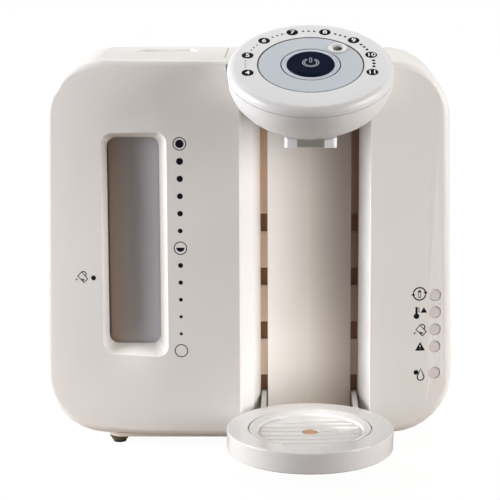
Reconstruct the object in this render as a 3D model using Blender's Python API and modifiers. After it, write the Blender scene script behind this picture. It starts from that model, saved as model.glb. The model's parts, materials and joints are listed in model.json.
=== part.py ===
"""Baby formula maker: a counter-top machine that fills baby bottles.

Units are metres, +Z is up, the machine faces -Y, and the origin is on the table under the middle of its
box. Run with: blender --background --python part.py
"""

import math

import bmesh
import bpy
from mathutils import Matrix, Vector

# Clearances and cuts
GAP = 0.0003
RUNNING_GAP = 0.0005
OVERRUN = 0.002
WALL = 0.0025

# Body: crowned front, sides that flare a little towards the base
BODY_WIDTH = 0.295
BODY_HEIGHT = 0.2755
BODY_BOTTOM = 0.0090
BODY_DEPTH = 0.112
BODY_TOP_CORNER = 0.042
BODY_CORNER = 0.044
BODY_CROWN = 0.014
BODY_FLARE_SHARE = 0.032
FRONT_EDGE = 0.005
INNER_EDGE = 0.0008
REAR_EDGE = 0.009
FASCIA_DEPTH_SHARE = 0.392857

# Base plate, feet and screws
BASE_THICKNESS = 0.003
BASE_SIDE_INSET = 0.0435
BASE_FRONT_INSET = 0.010
BASE_REAR_INSET = 0.006
BASE_CORNER = 0.012
FOOT_TOP_RADIUS = 0.0077
FOOT_BOTTOM_RADIUS = 0.0054
PAD_RADIUS = 0.0048
PAD_THICKNESS = 0.0011
FOOT_SIDE_INSET = 0.0085
FOOT_FRONT_INSET = 0.019
FOOT_REAR_INSET = 0.015
SCREW_FRONT_INSET = 0.032
SCREW_REAR_INSET = 0.030
SCREW_SHANK_RADIUS = 0.0015
SCREW_HEAD_RADIUS = 0.0032
SCREW_HEAD_HEIGHT = 0.0015

# Window in the fascia, its corner radii and the flared reveal
WINDOW_MIDDLE_SHARE = 0.2638
WINDOW_WIDTH_SHARE = 0.5448
WINDOW_ABOVE_BOTTOM = 0.05985
WINDOW_BELOW_TOP = 0.05175
WINDOW_CORNER = 0.0079
WINDOW_DEPTH = 0.015
WINDOW_FLARE_X = 0.0047
WINDOW_INNER_SHIFT = -0.0010
WINDOW_FLARE_Z = 0.0055
SLEEVE_WALL = 0.0018

# Head and bottle stand share one upright axis
AXIS_SHARE = 0.152203
AXIS_REACH = 0.041
STAND_RADIUS = 0.0590
STAND_RIM_HEIGHT = 0.0293
STAND_WALL_HEIGHT = 0.0153
STAND_FLOOR = 0.0020
STAND_EDGE = 0.0016
DISH_RADIUS = 0.0439
DISH_LEDGE = 0.0025
INSERT_LIP = 0.0018
INSERT_FLOOR_RADIUS = 0.0372
INSERT_DEPTH = 0.0035
INSERT_SINK = 0.0003
INSERT_THICKNESS = 0.0016
INSERT_HOLE_RADIUS = 0.0062
INSERT_RIB_COUNT = 7
INSERT_RIB_PITCH = 0.0092
INSERT_RIB_WIDTH = 0.0020
INSERT_RIB_HEIGHT = 0.0008
INSERT_RIB_REACH = 0.0350
ARM_HALF_SPACING = 0.0338
ARM_WIDTH = 0.0036
ARM_HEIGHT = 0.0125

# Bay: mouth in the fascia, two flanks, two grooves with slots, hollow back wall
BAY_REACH_LEFT = 0.0519
BAY_REACH_RIGHT = 0.0452
BAY_FOLD_REACH = 0.0413
BAY_FOLD_DEPTH = 0.016
BAY_DEPTH_SHARE = 0.410714
BAY_HOLLOW = 0.004
BAY_BELOW_TOP = 0.0225
GROOVE_WIDTH = 0.0057
GROOVE_DEPTH = 0.0068
SLOT_LOW = 0.0340
SLOT_HEIGHT = 0.0137
SLOT_PITCH = 0.0413
SLOT_COUNT = 4
HOLLOW_STEPS = 8

# Head: everything below is measured from the middle of its tilted face
HEAD_ABOVE_TOP = 0.0019
HEAD_TILT = math.radians(25.1)
HEAD_RADIUS = 0.0574
FACE_RADIUS = 0.0525
RIM_ROUND = 0.0050
RIM_STEPS = 4
CAP_DEPTH = 0.0070
CAP_THICKNESS = 0.0022
BOWL_DEPTH = 0.0415
BOWL_POWER = 2.2
BOWL_WALL = 0.0025
BOWL_LEDGE_DEPTH = 0.0032
NECK_DROP = 0.0440
NECK_INSET = 0.0003
NECK_LEAN = 0.0125
NECK_SPRING = 0.0030
NECK_START = 0.0030
NECK_LENGTH_PAST_FACE_SHARE = 0.214286
NECK_TOP_CLEARANCE = 0.0025
ARCH_GAP = 0.0024
DIAL_RADIUS = 0.0360
DIAL_THICKNESS = 0.0026
DIAL_SKIRT_RADIUS = 0.0335
DIAL_SKIRT_WALL = 0.0025
SEAM_GAP = 0.0004
DIMPLE_RADIUS_ON_DIAL = 0.0283
DIMPLE_ANGLE = math.radians(48.3)
DIMPLE_WIDTH = 0.0128
DIMPLE_DEPTH = 0.0014
DIMPLE_HOLE = 0.0055
LIGHT_RING_RADIUS = 0.0203
LIGHT_RING_THICKNESS = 0.0021
BUTTON_RADIUS = 0.0161
BUTTON_HEIGHT = 0.0022
BUTTON_CROWN = 0.0005
BUTTON_TRAVEL = 0.0012
BUTTON_STEM_RADIUS = 0.0040
CARRIER_THICKNESS = 0.0020
CARRIER_TUBE_WALL = 0.0022
BOARD_THICKNESS = 0.0016
CONTROL_BOARD_RADIUS = 0.0470
SWITCH_SIZE = 0.0062
SWITCH_HEIGHT = 0.0012

# Nozzle under the head
SHROUD_WIDTH = 0.0356
SHROUD_LENGTH = 0.0160
SHROUD_BELOW_HEAD = 0.0576
SHROUD_HEIGHT = 0.020
SHROUD_LOBE = 0.0085
SHROUD_RECESS = 0.0035
SHROUD_OFFSET = 0.0060
PIPE_HALF_SPACING = 0.0055
PIPE_RADIUS = 0.0030
PIPE_BORE = 0.0018
PIPE_LENGTH = 0.0260

# Head bracket and solenoid valve above the bay
BRACKET_THICKNESS = 0.002
BRACKET_HALF_WIDTH = 0.043
BRACKET_LENGTH_SHARE = 0.272321
FLANGE_HALF_WIDTH = 0.033
FLANGE_LOW = 0.0385
FLANGE_BELOW_TOP = 0.0055
FLANGE_WINDOW_REACH_LEFT = 0.0249
FLANGE_WINDOW_REACH_RIGHT = 0.0108
FLANGE_WINDOW_HEIGHT = 0.0120
VALVE_WIDTH = 0.030
VALVE_LENGTH_SHARE = 0.160714
VALVE_HEIGHT = 0.0135
VALVE_FROM_AXIS = 0.0131
VALVE_INSET_SHARE = 0.089286

# Tank, lid, cradle and dock
TANK_SIDE_INSET = 0.0425
TANK_FROM_BAY = 0.0110
TANK_FRONT_GAP = 0.0008
TANK_REAR_INSET = 0.0055
TANK_CORNER = 0.006
TANK_WALL = 0.0020
TANK_BOTTOM = 0.0280
CRADLE_REAR_INSET = 0.0100
LID_MARGIN = 0.0020
LID_CORNER = 0.009
LID_SKIRT = 0.008
LID_SKIRT_WALL = 0.0018
LID_POCKET_WIDTH_SHARE = 0.5287
LID_POCKET_LENGTH = 0.020
LID_POCKET_DEPTH = 0.0065
LID_POCKET_WALL = 0.0016
DOCK_REAR_INSET_SHARE = 0.303571
DOCK_RADIUS = 0.0095
DOCK_DEPTH = 0.008
TANK_VALVE_RADIUS = 0.0080
TANK_VALVE_FLANGE = 0.0110
SEAL_SECTION = 0.0010

# Filter under its door in the top
DOOR_FROM_AXIS = -0.0009
DOOR_WIDTH = 0.0560
DOOR_FRONT_INSET_SHARE = 0.482143
DOOR_REAR_INSET_SHARE = 0.107143
DOOR_CORNER = 0.005
HINGE_PIN_RADIUS = 0.0006
HINGE_HOLE_GAP = 0.00015
HINGE_PIN_OVERLAP = 0.003
CHAMBER_RADIUS_SHARE = 0.189286
CHAMBER_ABOVE_BOILER = 0.0047
CHAMBER_WALL = 0.0020
CHAMBER_FLANGE_MARGIN = 0.003
CAP_SEAT_BELOW_TOP = 0.0235
CAP_STEP = 0.0011
CAP_HEIGHT = 0.010
CAP_GRIP = (0.030, 0.006, 0.0075)
CARTRIDGE_GAP = 0.0004
CARTRIDGE_NECK_SHARE = 0.55

# Boiler, pump and their mounts
BOILER_FROM_AXIS = 0.0211
BOILER_REAR_INSET_SHARE = 0.279464
BOILER_RADIUS_SHARE = 0.183036
BOILER_BOTTOM = 0.030
BOILER_HEIGHT = 0.108
BOILER_EDGE = 0.006
PEDESTAL_WALL = 0.0015
PEDESTAL_LIP = 0.006
THERMOSTAT_RADIUS = 0.0080
THERMOSTAT_HEIGHT = 0.0070
PUMP_FROM_AXIS = -0.0349
PUMP_RADIUS_SHARE = 0.142857
PUMP_HEIGHT = 0.070
PUMP_FLANGE_RADIUS_SHARE = 0.178571
PUMP_FLANGE = 0.003
STUB_RADIUS = 0.0035
STUB_LENGTH = 0.006
HOSE_RADIUS = 0.0025
HOSE_END = 0.0060

# Ways of the hoses: across from the axis and up from a level, and the shares of the depth behind the face
FILTER_HOSE_LOW_WAY = ((-0.0349, -0.034), (-0.0289, -0.009), (-0.0169, 0.000))
FILTER_HOSE_LOW_SHARES = (0.6964, 0.6875, 0.6875)
VALVE_HOSE_TOP_WAY = ((-0.0109, -0.0175), (-0.0124, -0.0145), (-0.0114, -0.0135))
VALVE_HOSE_TOP_SHARES = (0.6339, 0.5000, 0.4107)
BOILER_HOSE_TOP_WAY = ((-0.0009, -0.0245), (-0.0089, -0.0425), (-0.0149, -0.0695))
BOILER_HOSE_TOP_SHARES = (0.5714, 0.5982, 0.6071)
BOILER_HOSE_LOW_WAY = ((-0.0159, 0.081), (-0.0149, 0.051), (-0.0129, 0.021))
BOILER_HOSE_LOW_SHARES = (0.6071, 0.6161, 0.6786)
HOT_HOSE_TOP_WAY = (
    (-0.0069, -0.0175),
    (-0.0199, -0.0145),
    (-0.0209, -0.0145),
    (-0.0239, -0.0265),
    (-0.0249, -0.0595),
)
HOT_HOSE_TOP_SHARES = (0.0536, 0.2500, 0.4821, 0.5893, 0.7679)
HOT_HOSE_LOW_WAY = ((-0.0249, 0.046), (-0.0209, 0.011))
HOT_HOSE_LOW_SHARES = (0.8214, 0.7857)
COLD_HOSE_TOP_WAY = ((0.0055, -0.0195), (0.0055, -0.0145))
COLD_HOSE_TOP_SHARES = (-0.2143, 0.0536)

# Boards, lenses and mains inlet
POWER_BOARD_FROM_BAY = 0.0019
POWER_BOARD_WIDTH = 0.0175
POWER_BOARD_FRONT_INSET = 0.022
POWER_BOARD_REAR_INSET = 0.034
STANDOFF_HEIGHT = 0.0060
STANDOFF_RADIUS = 0.0025
STANDOFF_INSET = 0.005
TRANSFORMER_SIZE = (0.014, 0.028, 0.020)
LENS_SIDE_INSET = 0.0111
LENS_HEIGHTS = (0.1121, 0.0993, 0.0865, 0.0736, 0.0539)
LENS_RADIUS = 0.0043
LENS_RECESS = 0.0005
LENS_LENGTH = 0.0060
LENS_HOLE_GAP = 0.0002
INDICATOR_BOARD_WIDTH = 0.014
INDICATOR_BOARD_MARGIN = 0.007
INLET_FROM_BOILER = 0.046
INLET_Z = 0.046
INLET_SIZE = (0.0275, 0.0200, 0.024)
INLET_WALL = 0.0025
INLET_POCKET = 0.016
INLET_PIN = (0.0020, 0.0040, 0.012)
INLET_PIN_SPACING = 0.0070
VENT_LOW = 0.070
VENT_PITCH = 0.0085
VENT_COUNT = 9
VENT_WIDTH = 0.056
VENT_HEIGHT = 0.0030

# Fineness of the round shapes
CORNER_STEPS = 8
ROUND_STEPS = 36
SMALL_STEPS = 16
BOWL_STEPS = 8
CROWN_STRIPS = 14

# Sizes taken from the depth
FASCIA_DEPTH = FASCIA_DEPTH_SHARE * BODY_DEPTH
BAY_DEPTH = BAY_DEPTH_SHARE * BODY_DEPTH
NECK_LENGTH_PAST_FACE = NECK_LENGTH_PAST_FACE_SHARE * BODY_DEPTH
BRACKET_LENGTH = BRACKET_LENGTH_SHARE * BODY_DEPTH
VALVE_INSET = VALVE_INSET_SHARE * BODY_DEPTH
DOOR_FRONT_INSET = DOOR_FRONT_INSET_SHARE * BODY_DEPTH
DOOR_REAR_INSET = DOOR_REAR_INSET_SHARE * BODY_DEPTH
CHAMBER_RADIUS = CHAMBER_RADIUS_SHARE * BODY_DEPTH
BOILER_RADIUS = BOILER_RADIUS_SHARE * BODY_DEPTH
BOILER_REAR_INSET = BOILER_REAR_INSET_SHARE * BODY_DEPTH
PUMP_RADIUS = PUMP_RADIUS_SHARE * BODY_DEPTH
PUMP_FLANGE_RADIUS = PUMP_FLANGE_RADIUS_SHARE * BODY_DEPTH
DOCK_REAR_INSET = DOCK_REAR_INSET_SHARE * BODY_DEPTH
VALVE_SIZE = (VALVE_WIDTH, VALVE_LENGTH_SHARE * BODY_DEPTH, VALVE_HEIGHT)

# Derived places
STAND_REACH = AXIS_REACH + STAND_RADIUS
FRONT_Y = (STAND_REACH - BODY_DEPTH) / 2
REAR_Y = FRONT_Y + BODY_DEPTH
SEAM_Y = FRONT_Y + FASCIA_DEPTH
BODY_TOP = BODY_BOTTOM + BODY_HEIGHT
BODY_HALF = BODY_WIDTH / 2
AXIS_X = AXIS_SHARE * BODY_WIDTH
HEAD_Z = BODY_TOP + HEAD_ABOVE_TOP
SHROUD_BOTTOM = HEAD_Z - SHROUD_BELOW_HEAD
BAY_LEFT = AXIS_X - BAY_REACH_LEFT
BAY_RIGHT = AXIS_X + BAY_REACH_RIGHT
BAY_FOLD_X = AXIS_X - BAY_FOLD_REACH
BAY_TOP = BODY_TOP - BAY_BELOW_TOP
TANK_LEFT = TANK_SIDE_INSET - BODY_HALF
TANK_RIGHT = BAY_LEFT - TANK_FROM_BAY
WINDOW_X = TANK_LEFT + WINDOW_MIDDLE_SHARE * (TANK_RIGHT - TANK_LEFT)
WINDOW_WIDTH = WINDOW_WIDTH_SHARE * (TANK_RIGHT - TANK_LEFT)
WINDOW_HEIGHT = BODY_HEIGHT - WINDOW_ABOVE_BOTTOM - WINDOW_BELOW_TOP
WINDOW_Z = BODY_BOTTOM + WINDOW_ABOVE_BOTTOM + WINDOW_HEIGHT / 2
LID_POCKET_WIDTH = LID_POCKET_WIDTH_SHARE * (TANK_RIGHT - TANK_LEFT)
BASE_WIDTH = BODY_WIDTH - 2 * BASE_SIDE_INSET
FOOT_X = BASE_WIDTH / 2 - FOOT_SIDE_INSET
BOILER_X = AXIS_X + BOILER_FROM_AXIS
PUMP_X = AXIS_X + PUMP_FROM_AXIS
VALVE_X = AXIS_X + VALVE_FROM_AXIS
DOOR_LEFT = AXIS_X + DOOR_FROM_AXIS
DOOR_RIGHT = DOOR_LEFT + DOOR_WIDTH
CHAMBER_BOTTOM = BOILER_BOTTOM + BOILER_HEIGHT + GAP + THERMOSTAT_HEIGHT + CHAMBER_ABOVE_BOILER
POWER_BOARD_LEFT = BAY_RIGHT + POWER_BOARD_FROM_BAY
POWER_BOARD_RIGHT = POWER_BOARD_LEFT + POWER_BOARD_WIDTH
LENS_X = BODY_HALF - LENS_SIDE_INSET
INLET_X = BOILER_X + INLET_FROM_BOILER
FLOOR_Z = BODY_BOTTOM + WALL + GAP
CEILING_Z = BODY_TOP - WALL
BASE_BOTTOM = BODY_BOTTOM - GAP - BASE_THICKNESS
AXIS_Y = FRONT_Y - AXIS_REACH
HEAD_CENTRE = Vector((AXIS_X, AXIS_Y, HEAD_Z))
TANK_FRONT_Y = FRONT_Y + WINDOW_DEPTH + WINDOW_FLARE_X + TANK_FRONT_GAP
TANK_REAR_Y = REAR_Y - TANK_REAR_INSET
BOILER_Y = REAR_Y - BOILER_REAR_INSET
CHAMBER_X = (DOOR_LEFT + DOOR_RIGHT) / 2
DOOR_FRONT_Y = FRONT_Y + DOOR_FRONT_INSET
DOOR_REAR_Y = REAR_Y - DOOR_REAR_INSET
CHAMBER_Y = (DOOR_FRONT_Y + DOOR_REAR_Y) / 2
DOCK_X = (TANK_LEFT + TANK_RIGHT) / 2
DOCK_Y = REAR_Y - DOCK_REAR_INSET
DOCK_FLOOR = TANK_BOTTOM - GAP - DOCK_DEPTH
FEED_Z = DOCK_FLOOR + HOSE_RADIUS + GAP
GROOVE_FLOOR_Y = FRONT_Y + BAY_DEPTH + GROOVE_DEPTH


def start_scene():
    for thing in list(bpy.data.objects):
        bpy.data.objects.remove(thing, do_unlink=True)
    parts = bpy.data.collections.new("baby_formula_maker")
    tools = bpy.data.collections.new("cutters")
    bpy.context.scene.collection.children.link(parts)
    bpy.context.scene.collection.children.link(tools)
    return parts, tools


PARTS, TOOLS = start_scene()


def finish_material(name, colour, roughness, metallic=0.0):
    made = bpy.data.materials.new(name)
    made.use_nodes = True
    shader = made.node_tree.nodes["Principled BSDF"]
    shader.inputs["Base Color"].default_value = (*colour, 1.0)
    shader.inputs["Roughness"].default_value = roughness
    shader.inputs["Metallic"].default_value = metallic
    return made


def to_object(name, bm, collection):
    bmesh.ops.recalc_face_normals(bm, faces=bm.faces)
    mesh = bpy.data.meshes.new(name)
    bm.to_mesh(mesh)
    bm.free()
    made = bpy.data.objects.new(name, mesh)
    collection.objects.link(made)
    return made


def as_piece(name, bm, colour, roughness=0.4, metallic=0.0):
    """A named piece of the machine with a material of its own."""
    made = to_object(name, bm, PARTS)
    made.data.materials.append(finish_material(name, colour, roughness, metallic))
    return made


def as_tool(name, bm):
    """A shape that cuts or joins a piece and isn't one itself."""
    made = to_object(name, bm, TOOLS)
    hide_tool(made)
    return made


def hide_tool(tool):
    tool.hide_render = True
    tool.display_type = "WIRE"


def combine(piece, tool, operation="DIFFERENCE"):
    step = piece.modifiers.new(operation.lower() + "_" + tool.name, "BOOLEAN")
    step.operation = operation
    step.solver = "EXACT"
    step.object = tool


def cut(piece, *tools):
    for tool in tools:
        combine(piece, tool)


def join(piece, *tools):
    for tool in tools:
        combine(piece, tool, "UNION")


def smooth(piece, angle=math.radians(35)):
    piece.data.shade_smooth()
    piece.data.set_sharp_from_angle(angle=angle)


def rounded_rectangle(width, height, radius, steps=CORNER_STEPS):
    """Points round a rectangle centred on zero, its corners rounded."""
    points = []
    for corner in range(4):
        centre_x = (width / 2 - radius) * (1 if corner in (0, 3) else -1)
        centre_y = (height / 2 - radius) * (1 if corner in (0, 1) else -1)
        for step in range(steps + 1):
            angle = math.pi / 2 * (corner + step / steps)
            points.append((centre_x + radius * math.cos(angle), centre_y + radius * math.sin(angle)))
    return points


def rectangle_between(low, high, radius, steps=CORNER_STEPS):
    """Points round a rounded rectangle between two corners."""
    middle = ((low[0] + high[0]) / 2, (low[1] + high[1]) / 2)
    points = rounded_rectangle(high[0] - low[0], high[1] - low[1], radius, steps)
    return [(x + middle[0], y + middle[1]) for x, y in points]


def squared_rear(outline, start, rear):
    """The outline with everything behind start moved out to square corners at rear."""
    low_x = min(x for x, y in outline)
    high_x = max(x for x, y in outline)
    kept = [(x, y) for x, y in outline if y < start]
    first = [point for point in kept if point[0] < (low_x + high_x) / 2]
    second = [point for point in kept if point[0] > (low_x + high_x) / 2]
    return [(high_x, rear), (low_x, rear), *first, *second]


def prism(outline, low, high):
    """A closed solid on an outline of (x, y) points, from height low to height high."""
    bm = bmesh.new()
    face = bm.faces.new([bm.verts.new((x, y, low)) for x, y in outline])
    made = bmesh.ops.extrude_face_region(bm, geom=[face])
    moved = [item for item in made["geom"] if isinstance(item, bmesh.types.BMVert)]
    bmesh.ops.translate(bm, verts=moved, vec=(0, 0, high - low))
    return bm


def upright_prism(outline, front, back):
    """A closed solid on an outline of (x, z) points, from y = front to y = back."""
    bm = prism([(x, -z) for x, z in outline], front, back)
    bmesh.ops.rotate(bm, verts=bm.verts, matrix=Matrix.Rotation(-math.pi / 2, 3, "X"))
    return bm


def block(low, high):
    """A closed box between two corners."""
    bm = bmesh.new()
    size = Vector(high) - Vector(low)
    bmesh.ops.create_cube(bm, size=1)
    bmesh.ops.scale(bm, vec=size, verts=bm.verts)
    bmesh.ops.translate(bm, vec=Vector(low) + size / 2, verts=bm.verts)
    return bm


def drum(radius, low, high, x=0.0, y=0.0, steps=SMALL_STEPS, top_radius=None):
    """An upright cylinder or cone from height low to height high."""
    bm = bmesh.new()
    end = radius if top_radius is None else top_radius
    bmesh.ops.create_cone(bm, cap_ends=True, segments=steps, radius1=radius, radius2=end, depth=high - low)
    bmesh.ops.translate(bm, vec=(x, y, (low + high) / 2), verts=bm.verts)
    return bm


def lie_along(bm, axis, place):
    """Turns an upright shape made at the origin to lie along X or Y, and moves it to its place."""
    turn = Matrix.Rotation(math.pi / 2, 3, "Y") if axis == "X" else Matrix.Rotation(-math.pi / 2, 3, "X")
    bmesh.ops.rotate(bm, verts=bm.verts, matrix=turn)
    bmesh.ops.translate(bm, vec=place, verts=bm.verts)
    return bm


def add_to(bm, *others):
    """Copies the other shapes into bm, so that one tool can make many cuts."""
    for other in others:
        mesh = bpy.data.meshes.new("copied")
        other.to_mesh(mesh)
        other.free()
        bm.from_mesh(mesh)
        bpy.data.meshes.remove(mesh)
    return bm


def turned(name, profile, collection, steps=ROUND_STEPS, closed=False):
    """A turned shape: a profile of (radius, height) points spun round Z by a Screw modifier."""
    bm = bmesh.new()
    verts = [bm.verts.new((radius, 0, height)) for radius, height in profile]
    for first, second in zip(verts, verts[1:]):
        bm.edges.new((first, second))
    if closed:
        bm.edges.new((verts[-1], verts[0]))
    mesh = bpy.data.meshes.new(name)
    bm.to_mesh(mesh)
    bm.free()
    made = bpy.data.objects.new(name, mesh)
    collection.objects.link(made)
    spin = made.modifiers.new("spin", "SCREW")
    spin.axis = "Z"
    spin.angle = 2 * math.pi
    spin.steps = steps
    spin.render_steps = steps
    spin.use_merge_vertices = True
    spin.merge_threshold = OVERRUN / 1000
    spin.use_smooth_shade = True
    return made


def turned_piece(name, profile, colour, roughness=0.4, metallic=0.0, steps=ROUND_STEPS, closed=False):
    made = turned(name, profile, PARTS, steps, closed)
    made.data.materials.append(finish_material(name, colour, roughness, metallic))
    return made


def turned_tool(name, profile, steps=ROUND_STEPS, closed=False):
    made = turned(name, profile, TOOLS, steps, closed)
    hide_tool(made)
    return made


def crown_at(x):
    """How far the crowned front face lies behind its middle at x."""
    return BODY_CROWN * (x / BODY_HALF) ** 2


def crown_slope(x):
    return math.atan(2 * BODY_CROWN * x / BODY_HALF**2)


def face_frame(x, z):
    """Places a shape on the front face at x and z, its own Z pointing out along the face's normal."""
    place = Matrix.Translation((x, FRONT_Y + crown_at(x), z))
    return place @ Matrix.Rotation(crown_slope(x), 4, "Z") @ Matrix.Rotation(math.pi / 2, 4, "X")


def body_block(inset, front, back, edge, crowned):
    """The body's outer or inner form between two depths: rounded corners, rounded edge, crown and flare."""
    width, height = BODY_WIDTH - 2 * inset, BODY_HEIGHT - 2 * inset
    upper = [point for point in rounded_rectangle(width, height, BODY_TOP_CORNER - inset) if point[1] > 0]
    lower = [point for point in rounded_rectangle(width, height, BODY_CORNER - inset) if point[1] < 0]
    outline = upper + lower
    middle_z = BODY_BOTTOM + BODY_HEIGHT / 2
    bm = upright_prism([(x, z + middle_z) for x, z in outline], front, back)
    edge_y = front if crowned else back
    rim = [item for item in bm.edges if all(abs(vert.co.y - edge_y) < GAP for vert in item.verts)]
    bmesh.ops.bevel(bm, geom=rim, offset=edge, segments=3, profile=0.5, affect="EDGES")
    if crowned:
        for strip in range(1, CROWN_STRIPS):
            cut_x = BODY_HALF * (2 * strip / CROWN_STRIPS - 1)
            geometry = [*bm.verts, *bm.edges, *bm.faces]
            bmesh.ops.bisect_plane(bm, geom=geometry, plane_co=(cut_x, 0, 0), plane_no=(1, 0, 0))
        for vert in bm.verts:
            if vert.co.y < front + edge + GAP:
                vert.co.y += crown_at(vert.co.x)
    for vert in bm.verts:
        vert.co.x *= 1 + BODY_FLARE_SHARE * (middle_z - vert.co.z) / BODY_HEIGHT
    return bm


def window_frustum(margin, front, back):
    """The window's opening, or with a margin the sleeve round it, narrowing from the face inwards."""
    bm = upright_prism(rounded_rectangle(WINDOW_WIDTH, WINDOW_HEIGHT, WINDOW_CORNER, 4), front, back)
    for vert in bm.verts:
        depth = (vert.co.y - FRONT_Y - crown_at(WINDOW_X)) / WINDOW_DEPTH
        narrow_x = 1 + (2 * margin - 2 * WINDOW_FLARE_X * depth) / WINDOW_WIDTH
        narrow_z = 1 + (2 * margin - 2 * WINDOW_FLARE_Z * depth) / WINDOW_HEIGHT
        vert.co.x = WINDOW_X + WINDOW_INNER_SHIFT * depth + vert.co.x * narrow_x
        vert.co.z = WINDOW_Z + vert.co.z * narrow_z
    return bm


def bowl_curve(radius, depth, top):
    """The bowl's turned wall from its rim at height top down to the axis, fuller than an ellipse."""
    points = []
    for step in range(BOWL_STEPS + 1):
        angle = math.pi / 2 * step / BOWL_STEPS
        reach = max(math.cos(angle), 0.0) ** (2 / BOWL_POWER) * radius if step < BOWL_STEPS else 0.0
        points.append((reach, top - depth * math.sin(angle) ** (2 / BOWL_POWER)))
    return points


def neck_block(margin, back):
    """The neck behind the bowl: the bowl's outline run straight back, flat on top."""
    half = HEAD_RADIUS - NECK_INSET + margin
    top = CEILING_Z - NECK_TOP_CLEARANCE + margin
    spring = top - NECK_SPRING
    drop = spring - (HEAD_Z - CAP_DEPTH * math.cos(HEAD_TILT) - NECK_DROP - margin)
    arch = [(half, top)]
    for step in range(2 * BOWL_STEPS + 1):
        angle = math.pi * step / (2 * BOWL_STEPS)
        across = abs(math.cos(angle)) ** (2 / BOWL_POWER) * (1 if step < BOWL_STEPS else -1)
        down = max(math.sin(angle), 0.0) ** (2 / BOWL_POWER)
        arch.append((half * (across if step != BOWL_STEPS else 0.0), spring - drop * down))
    arch.append((-half, top))
    bm = upright_prism([(AXIS_X + x, z) for x, z in arch], AXIS_Y, back)
    for vert in bm.verts:
        if vert.co.y < AXIS_Y + GAP:
            vert.co.y += NECK_START - NECK_LEAN * (top - vert.co.z) / drop
    return bm


def groove_sides():
    """The x of each groove's left and right side."""
    pairs = []
    for side in (-1, 1):
        centre = AXIS_X + side * ARM_HALF_SPACING
        pairs.append((centre - GROOVE_WIDTH / 2, centre + GROOVE_WIDTH / 2))
    return pairs


def make_shells():
    """Front fascia and rear housing: two shells that meet at the seam, with their openings."""
    white = (0.83, 0.79, 0.74)
    shell = body_block(0.0, FRONT_Y, SEAM_Y - GAP / 2, FRONT_EDGE, True)
    fascia = as_piece("front_fascia", shell, white, 0.35)
    hollow = as_tool("fascia_hollow", body_block(WALL, FRONT_Y + WALL, SEAM_Y + OVERRUN, INNER_EDGE, True))
    sleeve_back = TANK_FRONT_Y - TANK_FRONT_GAP
    cut(hollow, as_tool("window_sleeve", window_frustum(SLEEVE_WALL, FRONT_Y - OVERRUN, sleeve_back)))
    cut(fascia, hollow)
    cut(fascia, as_tool("window_cut", window_frustum(0.0, FRONT_Y - OVERRUN, sleeve_back + OVERRUN)))
    front = FRONT_Y - OVERRUN
    mouth_outline = [(BAY_LEFT, front), *bay_path()[1:-1], (BAY_RIGHT, front)]
    mouth = as_tool("bay_mouth_cut", prism(mouth_outline, BODY_BOTTOM - OVERRUN, BAY_TOP))
    arch = as_tool("arch_cut", neck_block(ARCH_GAP, FRONT_Y + NECK_LENGTH_PAST_FACE + OVERRUN))
    pocket_radius = HEAD_RADIUS + ARCH_GAP / 2
    pocket_profile = [(0, FACE_RADIUS), (pocket_radius, FACE_RADIUS)]
    pocket_profile += bowl_curve(pocket_radius, BOWL_DEPTH + ARCH_GAP / 2, -CAP_DEPTH)
    pocket = turned_tool("head_pocket_cut", pocket_profile)
    pocket.location = HEAD_CENTRE
    pocket.rotation_euler = (HEAD_TILT, 0, 0)
    cut(fascia, mouth, arch, pocket)
    holes = bmesh.new()
    for height in LENS_HEIGHTS:
        hole = drum(LENS_RADIUS + LENS_HOLE_GAP, -LENS_LENGTH, OVERRUN)
        bmesh.ops.transform(hole, matrix=face_frame(LENS_X, height), verts=hole.verts)
        add_to(holes, hole)
    cut(fascia, as_tool("lens_hole_cuts", holes))

    shell = body_block(0.0, SEAM_Y + GAP / 2, REAR_Y, REAR_EDGE, False)
    housing = as_piece("rear_housing", shell, white, 0.4)
    rear_edge = REAR_EDGE - WALL
    hollow = body_block(WALL, SEAM_Y - OVERRUN, REAR_Y - WALL, rear_edge, False)
    cut(housing, as_tool("housing_hollow", hollow))
    cut(housing, mouth)
    lid_hole = rectangle_between(
        (TANK_LEFT - LID_MARGIN, TANK_FRONT_Y - LID_MARGIN),
        (TANK_RIGHT + LID_MARGIN, TANK_REAR_Y + LID_MARGIN),
        LID_CORNER + RUNNING_GAP,
    )
    lid_cut = as_tool("lid_opening_cut", prism(lid_hole, CEILING_Z - OVERRUN, BODY_TOP + OVERRUN))
    cut(fascia, lid_cut)
    cut(housing, lid_cut)
    door_hole = rectangle_between((DOOR_LEFT, DOOR_FRONT_Y), (DOOR_RIGHT, DOOR_REAR_Y), DOOR_CORNER)
    door_hole = squared_rear(door_hole, DOOR_REAR_Y - DOOR_CORNER, DOOR_REAR_Y)
    cut(housing, as_tool("door_opening_cut", prism(door_hole, CEILING_Z - OVERRUN, BODY_TOP + OVERRUN)))
    half_bore = pin_half_length() + GAP
    pin_hole = drum(HINGE_PIN_RADIUS + HINGE_HOLE_GAP, -half_bore, half_bore, steps=10)
    cut(housing, as_tool("hinge_hole_cut", lie_along(pin_hole, "X", hinge_centre())))
    inlet_half = (INLET_SIZE[0] / 2 + GAP, INLET_SIZE[1] / 2 + GAP)
    inlet_low = (INLET_X - inlet_half[0], REAR_Y - WALL - OVERRUN, INLET_Z - inlet_half[1])
    inlet_high = (INLET_X + inlet_half[0], REAR_Y + OVERRUN, INLET_Z + inlet_half[1])
    cut(housing, as_tool("inlet_cut", block(inlet_low, inlet_high)))
    vents = bmesh.new()
    for row in range(VENT_COUNT):
        low = VENT_LOW + row * VENT_PITCH
        low_corner = (BOILER_X - VENT_WIDTH / 2, REAR_Y - WALL - OVERRUN, low)
        add_to(vents, block(low_corner, (BOILER_X + VENT_WIDTH / 2, REAR_Y + OVERRUN, low + VENT_HEIGHT)))
    cut(housing, as_tool("vent_cuts", vents))
    for shell in (fascia, housing):
        smooth(shell)
    return fascia, housing, arch, pocket


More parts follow.
